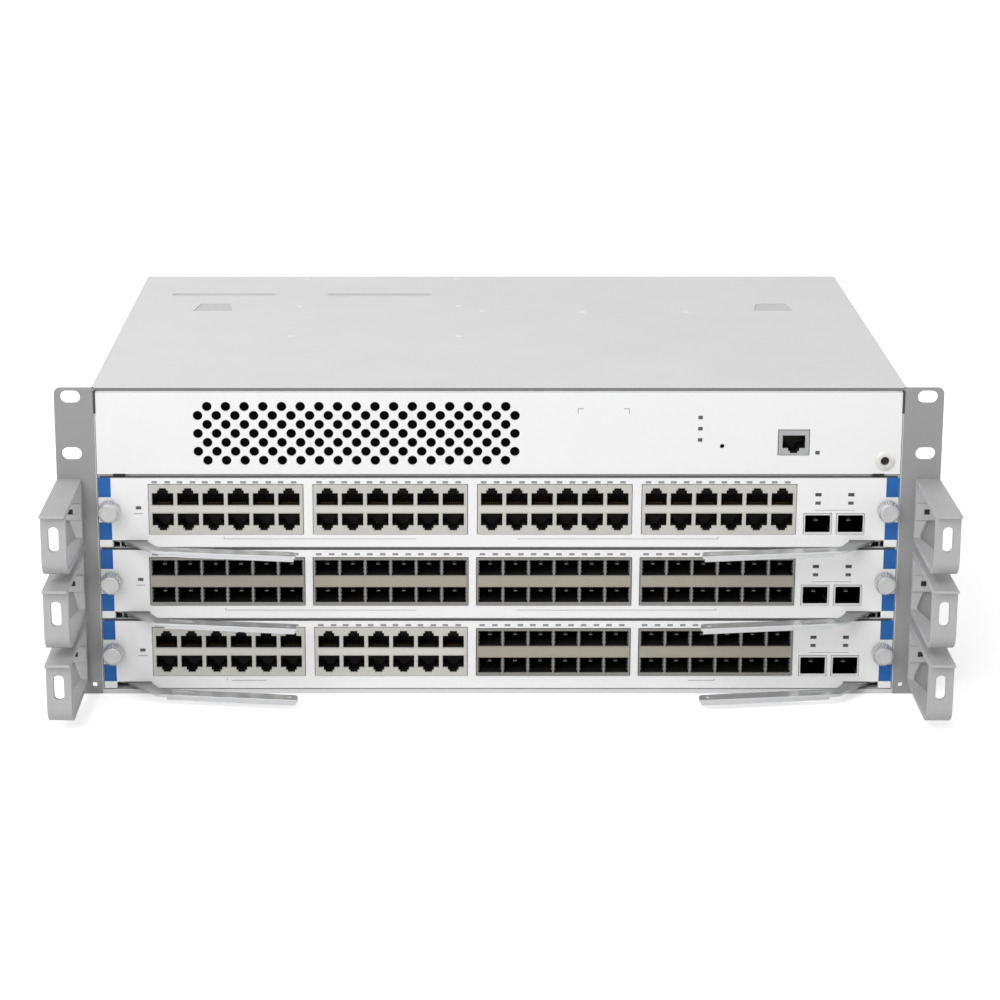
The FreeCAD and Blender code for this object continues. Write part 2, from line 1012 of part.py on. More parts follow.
def card_board(number):
    """Circuit board with two rear connectors, a row of packages and a heat sink."""
    z = card_bottom(number)
    low = z + board_lift
    high = low + board_thickness
    half = tray_half - card_sheet - board_margin
    solids = [block(-half, half, board_front, card_end_y, low, high)]
    for side in (-1, 1):
        solids.append(connector(side * connector_spread / 2, z, card_end_y - connector_depth, card_end_y))
    wide = package_size / 2
    for i in range(package_count):
        x = (i - (package_count - 1) / 2) * package_pitch
        solids.append(block(x - wide, x + wide, package_y - wide, package_y + wide, high, high + package_height))
    sink = sink_size / 2
    solids.append(block(-sink, sink, sink_y - sink, sink_y + sink, high, high + sink_height))
    return solids


def jack_block(x, number):
    """Two rows of jacks in one moulded and shielded housing, keys facing up and down."""
    floor = card_bottom(number) + board_lift + board_thickness
    half = jack_block_width / 2
    front = -block_proud
    body = block(x - half, x + half, front, front + jack_block_depth, floor, floor + jack_block_height)
    centre = floor + jack_row_centre
    first = x - (port_columns - 1) / 2 * jack_pitch
    cuts = []
    for column in range(port_columns):
        port_x = first + column * jack_pitch
        for way in (-1, 1):
            mouth = centre + way * jack_row_half_gap
            cuts.append(jack_pocket(port_x, mouth, way, front, jack_depth))
    return body.cut(cuts)


def cage_block(x, number):
    """Two rows of open module cages with a broad bar between them."""
    floor = card_bottom(number) + board_lift + board_thickness
    half = cage_block_width / 2
    front = -block_proud
    body = block(x - half, x + half, front, front + cage_block_depth, floor, floor + cage_block_height)
    centre = floor + cage_row_centre
    first = x - (port_columns - 1) / 2 * cage_pitch
    cuts = []
    for column in range(port_columns):
        left = first + column * cage_pitch - cage_width / 2
        for way in (-1, 1):
            near = centre + way * cage_row_half_gap
            far = near + way * cage_height
            cuts.append(block(left, left + cage_width, front - 1, front + cage_depth, near, far))
    return body.cut(cuts)


def uplink_cages(number):
    """Single open cages at the card's right end."""
    floor = card_bottom(number) + board_lift + board_thickness
    solids = []
    for x in uplink_centres():
        half = uplink_width / 2
        outer = half + uplink_wall
        low = floor + uplink_floor
        front = -block_proud
        high = low + uplink_height
        body = block(x - outer, x + outer, front, front + uplink_depth, floor, high + uplink_wall)
        solids.append(body.cut(block(x - half, x + half, front - 1, front + uplink_depth - 2, low, high)))
    return solids


def lever_outline():
    """Plan of a right-hand lever: toe, pivot boss, bend and long arm."""
    neck = lever_width / 2
    arm = lever_arm_width / 2
    bend = (pivot_x - lever_bend_in, -lever_bend_out)
    tip = (pivot_x - lever_tip_in, -lever_tip_out)
    toe_x = pivot_x + lever_toe
    points = [
        (toe_x, lever_pivot_back - neck),
        (toe_x, lever_pivot_back + neck / 2),
        (pivot_x, lever_pivot_back + lever_boss),
        (pivot_x - lever_boss, lever_pivot_back + neck / 2),
        (bend[0], bend[1] + arm),
        (tip[0] + lever_corner, tip[1] + arm),
        (tip[0], tip[1] + arm - lever_corner),
        (tip[0], tip[1] - arm),
        (bend[0] + neck / 2, bend[1] - arm),
        (pivot_x + neck, lever_pivot_back - lever_boss),
    ]
    return points


def lever(number, side):
    """Bent ejector lever: flat arm with a turned-down front lip, a slot and an eye at its tip."""
    low = lever_floor(number)
    high = low + lever_sheet
    points = lever_outline()
    plate = prism(points, "z", low, high)
    tip = points[7]
    bend = points[8]
    slope = (tip[1] - bend[1]) / (tip[0] - bend[0])
    start = (bend[0] - lever_lip_inset, bend[1] - slope * lever_lip_inset)
    lip_points = [start, tip, (tip[0], tip[1] + lever_lip_sheet), (start[0], start[1] + lever_lip_sheet)]
    lip = prism(lip_points, "z", high - lever_lip, high)
    slot_x = bend[0] - lever_slot_inset
    slot_y = bend[1] - slope * lever_slot_inset + lever_arm_width / 2
    opening = pointed_slot(slot_x, slot_y, lever_slot_length, lever_slot_width, low - 1, high + 1)
    opening.rotate(FreeCAD.Vector(slot_x, slot_y, 0), FreeCAD.Vector(0, 0, 1), math.degrees(math.atan(slope)))
    eye_x = tip[0] + lever_eye_inset
    eye_y = tip[1] + lever_arm_width / 2
    eye = polygon(eye_x, eye_y, lever_eye, 6, "z", low - 1, high + 1)
    bore = around(pivot_x, lever_pivot_back, lever_pin + running_gap, "z", low - 1, high + 1)
    return sided(joined([plate, lip]).cut([opening, eye, bore]), side)


def thumbscrew(number, side):
    """Captive screw: a broad many-sided head, a collar against the faceplate and a shank."""
    x = side * screw_x
    z = card_bottom(number) + screw_rise
    back = -seam - screw_collar
    front = back - screw_head_length
    head = polygon(x, z, screw_head, screw_head_sides, "y", front, back)
    collar = polygon(x, z, screw_collar_radius, small_sides, "y", back, -seam)
    shank = polygon(x, z, screw_shank, small_sides, "y", -seam, screw_reach)
    return joined([head, collar, shank])


# Power supplies and fans


def supply_case(index):
    """Hollow boxed power supply with its stop plate, plug end, air slots and a loop handle."""
    x = supply_x(index)
    half = supply_width / 2
    stop_y = rear_y + seam
    stop_end = stop_y + supply_stop_sheet
    body = block(x - half, x + half, supply_front_y, stop_y, supply_z, supply_top_z)
    t = supply_sheet
    room_end = stop_end - inlet_depth - t
    room = block(x - half + t, x + half - t, supply_front_y + t, room_end, supply_z + t, supply_top_z - t)
    edge = half + supply_stop
    stop = block(x - edge, x + edge, stop_y, stop_end, supply_z + seam, supply_top_z + supply_stop)
    plug = plug_end(x, supply_front_y - supply_plug_depth, supply_front_y, 0)
    handle = supply_handle(x, stop_end)
    inlet_x = supply_inlet_x(index)
    inlet_half = inlet_width / 2
    rise = inlet_height / 2
    z = supply_inlet_z()
    back = stop_end - inlet_depth
    cuts = [
        room,
        block(inlet_x - inlet_half, inlet_x + inlet_half, back, stop_end + 1, z - rise, z + rise),
        latch_room(index, stop_end),
    ]
    for i in range(supply_slots):
        left = x + supply_slot_first + i * supply_slot_pitch
        low = supply_z + supply_slot_border
        high = supply_top_z - supply_slot_border
        cuts.append(block(left, left + supply_slot_width, room_end - 1, stop_end + 1, low, high))
    return joined([body, stop, plug, handle]).cut(cuts)


def plug_end(x, start, end, border):
    """Block that stands for a supply's plug, or for its socket when a border is added."""
    half = plug_width / 2 + border
    low = supply_z + plug_rise - border
    high = supply_z + plug_rise + plug_height + border
    return block(x - half, x + half, start, end, low, high)


def supply_inlet_x(index):
    """Middle of a supply's power inlet."""
    return supply_x(index) - supply_width / 2 + inlet_width / 2 + inlet_inset


def supply_inlet_z():
    """Middle height of a power inlet."""
    return (supply_z + supply_top_z) / 2


def supply_handle(x, start):
    """Folded strap standing on the stop plate."""
    z = supply_inlet_z()
    high = z + handle_span / 2
    low = z - handle_span / 2
    end = start + handle_reach
    outer = [(start, low), (end, low), (end, high), (start, high)]
    t = handle_bar
    inner = [(start - 1, low + t), (end - t, low + t), (end - t, high - t), (start - 1, high - t)]
    left = x - handle_offset - handle_depth / 2
    right = left + handle_depth
    strap = prism(faceted(outer, [0, handle_corner, handle_corner, 0], 3), "x", left, right)
    return strap.cut(prism(inner, "x", left - 1, right + 1))


def latch_place(index):
    """Right-hand edge and lower edge of a supply's latch."""
    right = supply_x(index) + supply_width / 2 - latch_inset
    return right, supply_inlet_z() - latch_height / 2


def latch_room(index, stop_end):
    """Space that a supply's latch slides in."""
    right, low = latch_place(index)
    return block(
        right - latch_width - latch_travel - side_gap,
        right + side_gap,
        stop_end - latch_depth - side_gap,
        stop_end + 1,
        low - side_gap,
        low + latch_height + side_gap,
    )


def supply_latch(index):
    """Thumb catch with a tapered tab."""
    stop_end = rear_y + seam + supply_stop_sheet
    right, low = latch_place(index)
    left = right - latch_width
    high = low + latch_height
    body = block(left, right, stop_end - latch_depth, stop_end + latch_shoulder, low, high)
    inner = left + latch_shoulder
    outer = right - latch_shoulder
    out = stop_end + latch_reach
    points = [(inner, stop_end), (outer, stop_end), (outer - latch_taper, out), (inner, out)]
    return joined([body, prism(points, "z", low, high)])


def power_inlet(index):
    """Moulded inlet with a recess and three upright pins."""
    x = supply_inlet_x(index)
    z = supply_inlet_z()
    stop_end = rear_y + seam + supply_stop_sheet
    back = stop_end - inlet_depth
    half = inlet_width / 2 - side_gap
    rise = inlet_height / 2 - side_gap
    body = block(x - half, x + half, back, stop_end, z - rise, z + rise)
    inner = half - inlet_rim
    deep = rise - inlet_rim
    points = [
        (x - inner, z - deep),
        (x + inner, z - deep),
        (x + inner, z + deep - inlet_corner),
        (x + inner - inlet_corner, z + deep),
        (x - inner + inlet_corner, z + deep),
        (x - inner, z + deep - inlet_corner),
    ]
    floor = back + inlet_floor
    shell = body.cut(prism(points, "y", floor, stop_end + 1))
    wide = inlet_pin_width / 2
    tall = inlet_pin_height / 2
    pins = [
        block(x + dx - wide, x + dx + wide, back, floor + inlet_pin_length, z + dz - tall, z + dz + tall)
        for dx, dz in inlet_pins
    ]
    return joined([shell] + pins)


def power_board():
    """Upright board that takes both supplies' plug ends."""
    left = supply_x(0) - supply_width / 2
    right = supply_x(supply_count - 1) + supply_width / 2
    plug_start = supply_front_y - supply_plug_depth - seam
    back = plug_start - socket_depth
    board = block(left, right, back - backplane_sheet, back, bay_floor_z, supply_top_z)
    sockets = [plug_end(supply_x(i), back, plug_start, socket_border) for i in range(supply_count)]
    return [board] + sockets


def fan_x(index):
    """Middle of a fan."""
    return (index - (fan_count - 1) / 2) * fan_pitch


def fan_frame():
    """One moulding with a bore, a motor boss on four struts and a bearing pin for each fan."""
    half = fan_box_half_width
    rise = fan_box_half_height
    end = rear_y + fan_plate
    border = fan_plate_border
    box = block(-half, half, fan_front_y, rear_y, fan_z - rise, fan_z + rise)
    plate = block(-half - border, half + border, rear_y, end, fan_z - rise - border, fan_z + rise + border)
    bores = [polygon(fan_x(i), fan_z, fan_bore, bore_sides, "y", fan_front_y - 1, end + 1) for i in range(fan_count)]
    guards = [piece for i in range(fan_count) for piece in fan_guard(fan_x(i))]
    return joined([joined([box, plate]).cut(bores)] + guards)


def fan_guard(x):
    """Motor boss, bearing pin and crossed struts at a fan's outlet."""
    start = rear_y - fan_boss_depth
    end = rear_y + fan_plate
    boss = polygon(x, fan_z, fan_boss, fan_sides, "y", start, end)
    pin = polygon(x, fan_z, fan_pin, small_sides, "y", fan_front_y + fan_pin_inset, start)
    reach = fan_bore
    strut = strut_width / 2
    level = block(x - reach, x + reach, end - strut_width, end, fan_z - strut, fan_z + strut)
    upright = block(x - strut, x + strut, end - strut_width, end, fan_z - reach, fan_z + reach)
    return [boss, pin, level, upright]


def fan_rotor(index):
    """Hub with slanted flat blades, bored for its pin."""
    x = fan_x(index)
    start = fan_front_y + fan_hub_inset
    end = rear_y - fan_boss_depth - 2 * seam
    hub = polygon(x, fan_z, fan_hub, fan_sides, "y", start, end)
    middle = (start + end) / 2
    blades = [fan_blade(x, middle, 360.0 * i / fan_blades) for i in range(fan_blades)]
    bore = around(x, fan_z, fan_pin + running_gap, "y", fan_front_y + fan_pin_inset - 1, end + 1)
    return joined([hub] + blades).cut(bore)


def fan_blade(x, middle, angle):
    """One blade: a flat plate from the hub to near the bore, turned about its own length."""
    half = fan_blade_length / 2
    sheet = fan_blade_sheet / 2
    blade = block(-sheet, sheet, -half, half, fan_hub - fan_blade_root, fan_radius)
    blade.rotate(FreeCAD.Vector(0, 0, 0), FreeCAD.Vector(0, 0, 1), fan_blade_turn)
    blade.rotate(FreeCAD.Vector(0, 0, 0), FreeCAD.Vector(0, 1, 0), angle)
    blade.translate(FreeCAD.Vector(x, middle, fan_z))
    return blade


# Rack ears and cable guides


def rack_ear(side):
    """Angle with two rack slots, rounded outer corners and a leg screwed to the side wall."""
    points = [(side_x, 0), (ear_x, 0), (ear_x, body_height), (side_x, body_height)]
    plate = prism(faceted(points, [0, ear_corner, ear_corner, 0], 3), "y", 0, ear_sheet)
    low = ear_leg_margin
    high = body_height - ear_leg_margin
    cut = ear_leg_corner
    leg_points = [
        (0, low),
        (ear_leg - cut, low),
        (ear_leg, low + cut),
        (ear_leg, high - cut),
        (ear_leg - cut, high),
        (0, high),
    ]
    leg = prism(leg_points, "x", side_x, side_x + ear_sheet)
    cuts = []
    for i in range(ear_slots):
        z = body_height - ear_slot_drop - i * ear_slot_pitch
        cuts.append(slot(ear_x - ear_slot_inset, z, ear_slot_length, ear_slot_width, "y", -1, ear_sheet + 1))
    half = jig_hole / 2
    x = side_x + jig_inset
    cuts.append(block(x - half, x + half, -1, ear_sheet + 1, jig_rise - half, jig_rise + half))
    for z in ear_screw_heights():
        cuts.append(polygon(ear_screw_y, z, screw_hole, 6, "x", side_x - 1, side_x + ear_sheet + 1))
    return sided(joined([plate, leg]).cut(cuts), side)


def ear_screw_heights():
    """Heights of the screws that hold an ear's leg."""
    low = ear_leg_margin + ear_screw_margin
    step = (body_height - 2 * low) / (ear_screw_count - 1)
    return [low + i * step for i in range(ear_screw_count)]


def guide_bottom(number):
    """Lower edge of a cable guide; guide 1 is beside card 1."""
    return card_bottom(number) + guide_rise


def cable_guide(number, side):
    """D-shaped ring open to the sides, with a lip and a slot at its nose and a clip pad on the ear."""
    low = guide_bottom(number)
    high = low + guide_height
    inner = ear_x - guide_width
    t = guide_wall
    nose = -guide_reach
    lip = nose - guide_lip
    under = high - guide_lip_sheet
    outer = [(0, high), (lip, high), (lip, under), (nose, under), (nose, low), (0, low)]
    outer = faceted(outer, [0, 0, 0, 0, guide_nose_radius, 0], guide_facets)
    ring = prism(outer, "x", inner, ear_x)
    hollow = [(-t, high - t), (nose + t, high - t), (nose + t, low + t), (-t, low + t)]
    hollow = faceted(hollow, [0, 0, guide_nose_radius - t, 0], guide_facets)
    cavity = prism(hollow, "x", inner - 1, ear_x + 1)
    middle = (low + high) / 2
    pad_front = -t - guide_pad_proud
    rise = guide_pad_height / 2
    pad = block(inner, ear_x, pad_front, 0, middle - rise, middle + rise)
    left = (inner + ear_x - guide_slot_width) / 2
    right = left + guide_slot_width
    top = high - guide_slot_drop
    window = block(left, right, nose - 1, nose + t + 1, top - guide_slot_height, top)
    clip_left = inner + guide_clip_inset
    half = guide_clip / 2
    clip = block(clip_left, clip_left + guide_clip, pad_front - 1, 1, middle - half, middle + half)
    return sided(joined([ring.cut(cavity), pad]).cut([window, clip]), side)


# Fasteners


def chassis_screws():
    """Screws that hold the ears, one separate solid each."""
    screws = []
    seat = side_x + ear_sheet
    for z in ear_screw_heights():
        head = polygon(ear_screw_y, z, screw_hex, 6, "x", seat, seat + screw_hex_height)
        shank = polygon(ear_screw_y, z, screw_body, 6, "x", inner_x, seat)
        screw = joined([head, shank])
        screws += [screw, sided(screw, -1)]
    return screws


def write_chassis():
    save("chassis_base", chassis_base())
    save("top_cover", top_cover())
    save("bay_divider", bay_divider())
    save("card_rails", card_rails())
    save("backplane", backplane())
    save("power_board", power_board())
    save("front_panel", front_panel())
    save("status_lights", status_lights())
    save("management_board", management_board())
    save("management_jack", management_jack())
    save("reset_button", reset_button())
    save("ground_jack", ground_jack())
    save("chassis_screws", chassis_screws())


def write_sides():
    for word, side in (("left", -1), ("right", 1)):
        save("rack_ear_" + word, rack_ear(side))
        for number in range(1, card_count + 1):
            save("cable_guide_" + word + "_" + str(number), cable_guide(number, side))


def write_card(number):
    name = "card_" + str(number) + "_"
    jacks, cages = card_layout(number)
    save(name + "faceplate", faceplate(number))
    save(name + "tray", tray(number))
    save(name + "board", card_board(number))
    if jacks:
        save(name + "jack_blocks", [jack_block(x, number) for x in jacks])
    if cages:
        save(name + "cage_blocks", [cage_block(x, number) for x in cages])
    save(name + "uplink_cages", uplink_cages(number))
    for word, side in (("left", -1), ("right", 1)):
        save(name + "lever_" + word, lever(number, side))
        save(name + "thumbscrew_" + word, thumbscrew(number, side))


def write_rear():
    for index in range(supply_count):
        name = "supply_" + str(index + 1) + "_"
        save(name + "case", supply_case(index))
        save(name + "inlet", power_inlet(index))
        save(name + "latch", supply_latch(index))
    save("fan_frame", fan_frame())
    for index in range(fan_count):
        save("fan_rotor_" + str(index + 1), fan_rotor(index))


os.makedirs("parts", exist_ok=True)
write_chassis()
write_sides()
for card_number in range(1, card_count + 1):
    write_card(card_number)
write_rear()
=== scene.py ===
# %% [markdown]
# # A modular chassis switch
# The object is a rack-mounted network chassis. Three port cards slide in from the front,
# each with two ejector levers and two knobs, and grey rings beside them lead the cables away.
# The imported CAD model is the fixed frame: every piece made here is placed by its nodes.

# %% Load the frame
import math
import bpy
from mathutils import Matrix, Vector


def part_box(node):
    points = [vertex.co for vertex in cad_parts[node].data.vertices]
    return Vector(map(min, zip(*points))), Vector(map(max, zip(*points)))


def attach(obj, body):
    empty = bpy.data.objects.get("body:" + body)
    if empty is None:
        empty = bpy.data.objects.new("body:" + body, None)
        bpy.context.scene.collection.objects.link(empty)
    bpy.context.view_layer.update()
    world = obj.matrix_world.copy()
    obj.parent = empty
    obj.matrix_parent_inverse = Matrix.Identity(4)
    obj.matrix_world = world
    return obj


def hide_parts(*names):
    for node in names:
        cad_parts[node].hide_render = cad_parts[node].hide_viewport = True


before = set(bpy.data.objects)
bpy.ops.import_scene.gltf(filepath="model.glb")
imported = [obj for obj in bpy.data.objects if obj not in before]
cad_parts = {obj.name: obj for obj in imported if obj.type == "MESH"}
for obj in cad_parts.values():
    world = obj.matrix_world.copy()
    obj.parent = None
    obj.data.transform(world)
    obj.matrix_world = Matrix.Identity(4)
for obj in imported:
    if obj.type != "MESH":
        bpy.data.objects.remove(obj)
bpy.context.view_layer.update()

from types import SimpleNamespace as Sizes

import bmesh
import bpy
import numpy as np
from mathutils.geometry import delaunay_2d_cdt

MM = 0.001
CARDS = (1, 2, 3)
SHEET = 1.2
SIDES = (("left", -1), ("right", 1))


def span(node):
    """A CAD node's box in millimetres: low X, high X, low Y, high Y, low Z, high Z."""
    low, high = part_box(node)
    return [float(value) / MM for pair in zip(low, high) for value in pair]


def in_scene(name, data):
    """An object for this mesh, lamp or camera, linked into the scene."""
    made = bpy.data.objects.new(name, data)
    bpy.context.scene.collection.objects.link(made)
    return made


# %% [markdown]
# ## Camera
# The photograph looks straight at the front and about fifteen degrees down, with a long lens.
# The lens, the height and the small sideways shift were worked out from the chassis's edges.

# %% Camera
LOOK_DOWN = 15.57
FOCAL_SHARE = 2.908
camera = in_scene("camera", bpy.data.cameras.new("camera"))
bpy.context.scene.camera = camera
camera.location = np.array((-26.53, -1532.90, 539.18)) * MM
camera.rotation_euler = (math.radians(90 - LOOK_DOWN), 0, 0)
camera.data.sensor_width = 36
camera.data.lens = FOCAL_SHARE * camera.data.sensor_width
camera.data.shift_x = 0.05
print("lens in millimetres:", round(camera.data.lens, 1))

# %% [markdown]
# ## Finishes
# A finish is a small tree of shader nodes. Writing the trees out node by node hides the idea,
# so `Wire` wraps one socket and turns ordinary sums into Math nodes. Everything else is made by
# one method of `Nodes`, whatever its type, and `Finish` is such a tree with its material.


# %% Shader maths as Python sums
class Wire:
    """One output socket. Each operator adds the Math node that does the sum."""

    def __init__(self, nodes, socket):
        self.nodes = nodes
        self.socket = socket

    def math(self, operation, *others):
        return self.nodes.node("ShaderNodeMath", {"operation": operation}, self, *others)

    def __add__(self, other):
        return self.math("ADD", other)

    __radd__ = __add__

    def __mul__(self, other):
        return self.math("MULTIPLY", other)

    __rmul__ = __mul__

    def __sub__(self, other):
        return self.math("SUBTRACT", other)

    def __rsub__(self, other):
        return (self * -1.0) + other

    def __gt__(self, other):
        return self.math("GREATER_THAN", other)

    def __lt__(self, other):
        return self.math("LESS_THAN", other)


def linear(red, green, blue):
    """A colour read as 0 to 255 screen values, turned into the shader's linear numbers."""
    screen = np.array((red, green, blue)) / 255
    light = np.where(screen > 0.04045, ((screen + 0.055) / 1.055) ** 2.4, screen / 12.92)
    return (*light.tolist(), 1.0)


class Nodes:
    """A tree of shader nodes, and the one method that adds any node to it."""

    def __init__(self, tree):
        self.tree = tree

    def plug(self, socket, value):
        """Links a wire, or sets a plain value."""
        if isinstance(value, Wire):
            self.tree.links.new(value.socket, socket)
        else:
            socket.default_value = value

    def node(self, kind, settings, *values, output=None, **named):
        """Adds a node: settings first, then its sockets in order or by name."""
        made = self.tree.nodes.new(kind)
        for key, value in settings.items():
            setattr(made, key, value)
        for socket, value in zip([s for s in made.inputs if s.enabled], values):
            self.plug(socket, value)
        for key, value in named.items():
            self.plug(made.inputs[key.replace("_", " ")], value)
        outputs = [s for s in made.outputs if s.enabled]
        return Wire(self, made.outputs[output] if output else outputs[0])


class Finish(Nodes):
    """A material with its surface shader."""

    def __init__(self, name, colour, roughness=0.5, metallic=0.0):
        self.material = bpy.data.materials.new(name)
        self.material.use_nodes = True
        super().__init__(self.material.node_tree)
        self.surface = self.tree.nodes["Principled BSDF"]
        self.colour, self.roughness = linear(*colour), roughness
        self.set(Base_Color=self.colour, Roughness=roughness, Metallic=metallic)
        self.place = self.node("ShaderNodeTexCoord", {}, output="Object")

    def set(self, **sockets):
        """Sets or links sockets of the surface shader."""
        for key, value in sockets.items():
            self.plug(self.surface.inputs[key.replace("_", " ")], value)

    def noise(self, size, detail=2.0, stretch=(1, 1, 1)):
        """Noise from 0 to 1 whose blotches are about this many millimetres across."""
        scaled = self.node("ShaderNodeMapping", {}, Vector=self.place, Scale=stretch)
        scale = 1 / (size * MM)
        return self.node("ShaderNodeTexNoise", {}, Vector=scaled, Scale=scale, Detail=detail)

    def mix(self, factor, first, second):
        """Two colours mixed by a mask."""
        return self.node("ShaderNodeMix", {"data_type": "RGBA"}, factor, first, second)

    def axis(self, letter):
        """How far along X, Y or Z a point lies, in metres."""
        return self.node("ShaderNodeSeparateXYZ", {}, self.place, output=letter)

    def shade(self, factor, depth):
        """The finish's own colour, darker by up to this share where the mask is 1."""
        dark = (*[channel * (1 - depth) for channel in self.colour[:3]], 1.0)
        return self.mix(factor, self.colour, dark)

    def vary(self, tint, depth, gloss, spread):
        """Darker where the first mask is 1, and rougher where the second is, by its spread."""
        self.set(Base_Color=self.shade(tint, depth))
        self.set(Roughness=gloss * spread + (self.roughness - spread / 2))

    def relief(self, height, millimetres):
        """Feeds a height from 0 to 1 into the surface's bump, this many millimetres deep."""
        depth = millimetres * MM
        bump = self.node("ShaderNodeBump", {}, Height=height, Strength=1.0, Distance=depth)
        self.set(Normal=bump)


# %% [markdown]
# ## Paints, plastics and metals
# Powder paint has a fine orange-peel relief and a faint mottling. Moulded plastic is grainier.
# Rolled or ground metal is streaked one way, which is noise squeezed along that way.


# %% Paints and plastics
def painted(name, colour, roughness):
    """Powder paint: fine relief, slow mottling of colour and gloss."""
    made = Finish(name, colour, roughness)
    slow = made.noise(38, 3)
    made.vary(slow, 0.045, slow, 0.12)
    made.relief(made.noise(1.1, 2), 0.006)
    return made.material


def pressed_cover_with_shade(name, colour, half_width, top):
    """The cover's paint, with painted shade on the floors of its pressings and on its front edge.
    """
    made = Finish(name, colour, 0.50)
    slow = made.noise(38, 3)
    x, y, z = [made.axis(letter) for letter in "XYZ"]
    rim, mottling, floor_shade, dark = 2, 0.045, 0.2, 0.72
    # Painted shade: the floors of the pressings are darkened by 0.2 and the front edge face by
    # 0.72, for the shade in the pressings and the shadow line under the cover's edge.
    shaded_floors = (z < (top - 0.2) * MM) * (z > (top - 0.8) * MM) * (y > rim * MM)
    shaded_floors = shaded_floors * (x < (half_width - rim) * MM) * (x > (rim - half_width) * MM)
    front = y < 0.2 * MM
    made.vary(slow * mottling + shaded_floors * floor_shade + front * dark, 1.0, slow, 0.12)
    made.relief(made.noise(1.1, 2), 0.006)
    return made.material


def moulded(name, colour, roughness, grain=0.02, size=0.7, gloss=0.5):
    """Moulded plastic: an even fine grain with small changes of gloss."""
    made = Finish(name, colour, roughness)
    made.set(Specular_IOR_Level=gloss)
    fine = made.noise(size, 2)
    made.vary(made.noise(12, 2), 0.10, fine, 0.16)
    made.relief(fine, grain)
    return made.material


def clear_pipe(name, colour, glow):
    """The end of a light pipe: glossy plastic with a little light of its own."""
    made = Finish(name, colour, 0.23)
    cells = made.noise(0.5, 2)
    made.vary(cells, 0.25, cells, 0.14)
    made.set(Emission_Color=made.shade(cells, 0.25), Emission_Strength=glow)
    return made.material


# %% [markdown]
# For the metals `stretch` squeezes the noise into streaks. The levers add a mask that follows
# their depth: painted shade that darkens them from the bend towards the slot they turn in.

# %% Metals
def ground(name, colour, roughness, stretch, metallic=1.0):
    """Metal with fine streaks: noise squeezed across the streaks."""
    made = Finish(name, colour, roughness, metallic)
    streaks = made.noise(9, 3, stretch)
    made.vary(streaks * 0.6 + made.noise(26, 2) * 0.4, 0.16, streaks, 0.20)
    made.relief(streaks, 0.004)
    return made.material


def slot_shaded_steel(name, colour, roughness, stretch):
    """Streaked metal with painted shade from the bend up to its slot, and no shade again at the
    toe behind it.
    """
    made = Finish(name, colour, roughness, 0.6)
    streaks = made.noise(9, 3, stretch)
    depth, streaking, slot_shade = made.axis("Y"), 0.12, 0.62
    # Painted shade: from 20 mm in front of the faceplate up to the slot the colour is darkened by
    # up to 0.62; from 2 mm behind the face the toe mask takes it off again.
    near = made.node("ShaderNodeClamp", {}, (depth + 20 * MM) * (1 / (16 * MM)))
    toe = made.node("ShaderNodeClamp", {}, (depth - 2 * MM) * (1 / (2 * MM)))
    made.vary(streaks * streaking + near * slot_shade - toe * slot_shade, 1.0, streaks, 0.20)
    made.relief(streaks, 0.004)
    return made.material


def spangled(name, colour):
    """Zinc-plated sheet with faint crystals."""
    made = Finish(name, colour, 0.42, 0.85)
    cells = made.node(
        "ShaderNodeTexVoronoi", {}, Vector=made.place, Scale=1 / (5 * MM), output="Distance")
    made.vary(cells, 0.22, cells, 0.16)
    made.relief(made.noise(2, 2), 0.004)
    return made.material


# %% [markdown]
# With these families a finish is one line: a name, a colour as the screen shows it, and a few
# numbers for gloss and grain.

# %% The finishes
ALONG_X, ALONG_Y = (0.06, 1.4, 1.4), (1.4, 0.06, 1.4)
white_paint = painted("white_paint", (243, 243, 243), 0.46)
cover_box = span("top_cover")
cover_paint_and_shade = pressed_cover_with_shade("cover_paint_and_shade", (228, 228, 228), cover_box[1], cover_box[5])
casing_paint = painted("casing_paint", (219, 219, 220), 0.50)
ear_paint = painted("ear_paint", (154, 154, 155), 0.44)
guide_plastic = moulded("guide_plastic", (184, 184, 185), 0.46, 0.014)
lever_metal_and_shade = slot_shaded_steel("lever_metal_and_shade", (226, 227, 228), 0.32, ALONG_X)
knob_metal = ground("knob_metal", (222, 222, 223), 0.30, ALONG_Y, 0.8)
jack_shell = moulded("jack_shell", (201, 199, 193), 0.42, 0.006)
jack_bar = moulded("jack_bar", (214, 212, 205), 0.40, 0.006)
black_plastic_and_shade = moulded("black_plastic_and_shade", (24, 24, 21), 0.58, 0.010)
cage_sheet = ground("cage_sheet", (150, 148, 144), 0.40, ALONG_X, 0.55)
cage_bar = moulded("cage_bar", (166, 160, 147), 0.44, 0.006)
uplink_shell = moulded("uplink_shell", (234, 233, 230), 0.42, 0.006)
contact_gold = ground("contact_gold", (150, 122, 74), 0.34, ALONG_Y)
zinc_sheet = spangled("zinc_sheet", (176, 178, 180))
solder_mask = moulded("solder_mask", (24, 84, 52), 0.34, 0.010, 1.6)
fan_plastic = moulded("fan_plastic", (34, 34, 36), 0.44, 0.014)
inlet_plastic = moulded("inlet_plastic", (26, 26, 27), 0.46, 0.012)
latch_plastic = moulded("latch_plastic", (66, 128, 84), 0.42, 0.012)
filter_foam_and_shade = moulded("filter_foam_and_shade", (6, 6, 6), 0.90, 0.2, 1.5, 0.05)
painted_shade_grey = moulded("painted_shade_grey", (70, 70, 71), 0.80, 0.05, 0.8)
shield_sheet = ground("shield_sheet", (186, 187, 189), 0.38, ALONG_X, 0.4)
plated_brass = ground("plated_brass", (238, 237, 234), 0.34, ALONG_Y, 0.5)
blue_ink = moulded("blue_ink", (10, 97, 174), 0.50, 0.004)
grey_ink = moulded("grey_ink", (150, 150, 150), 0.52, 0.003)
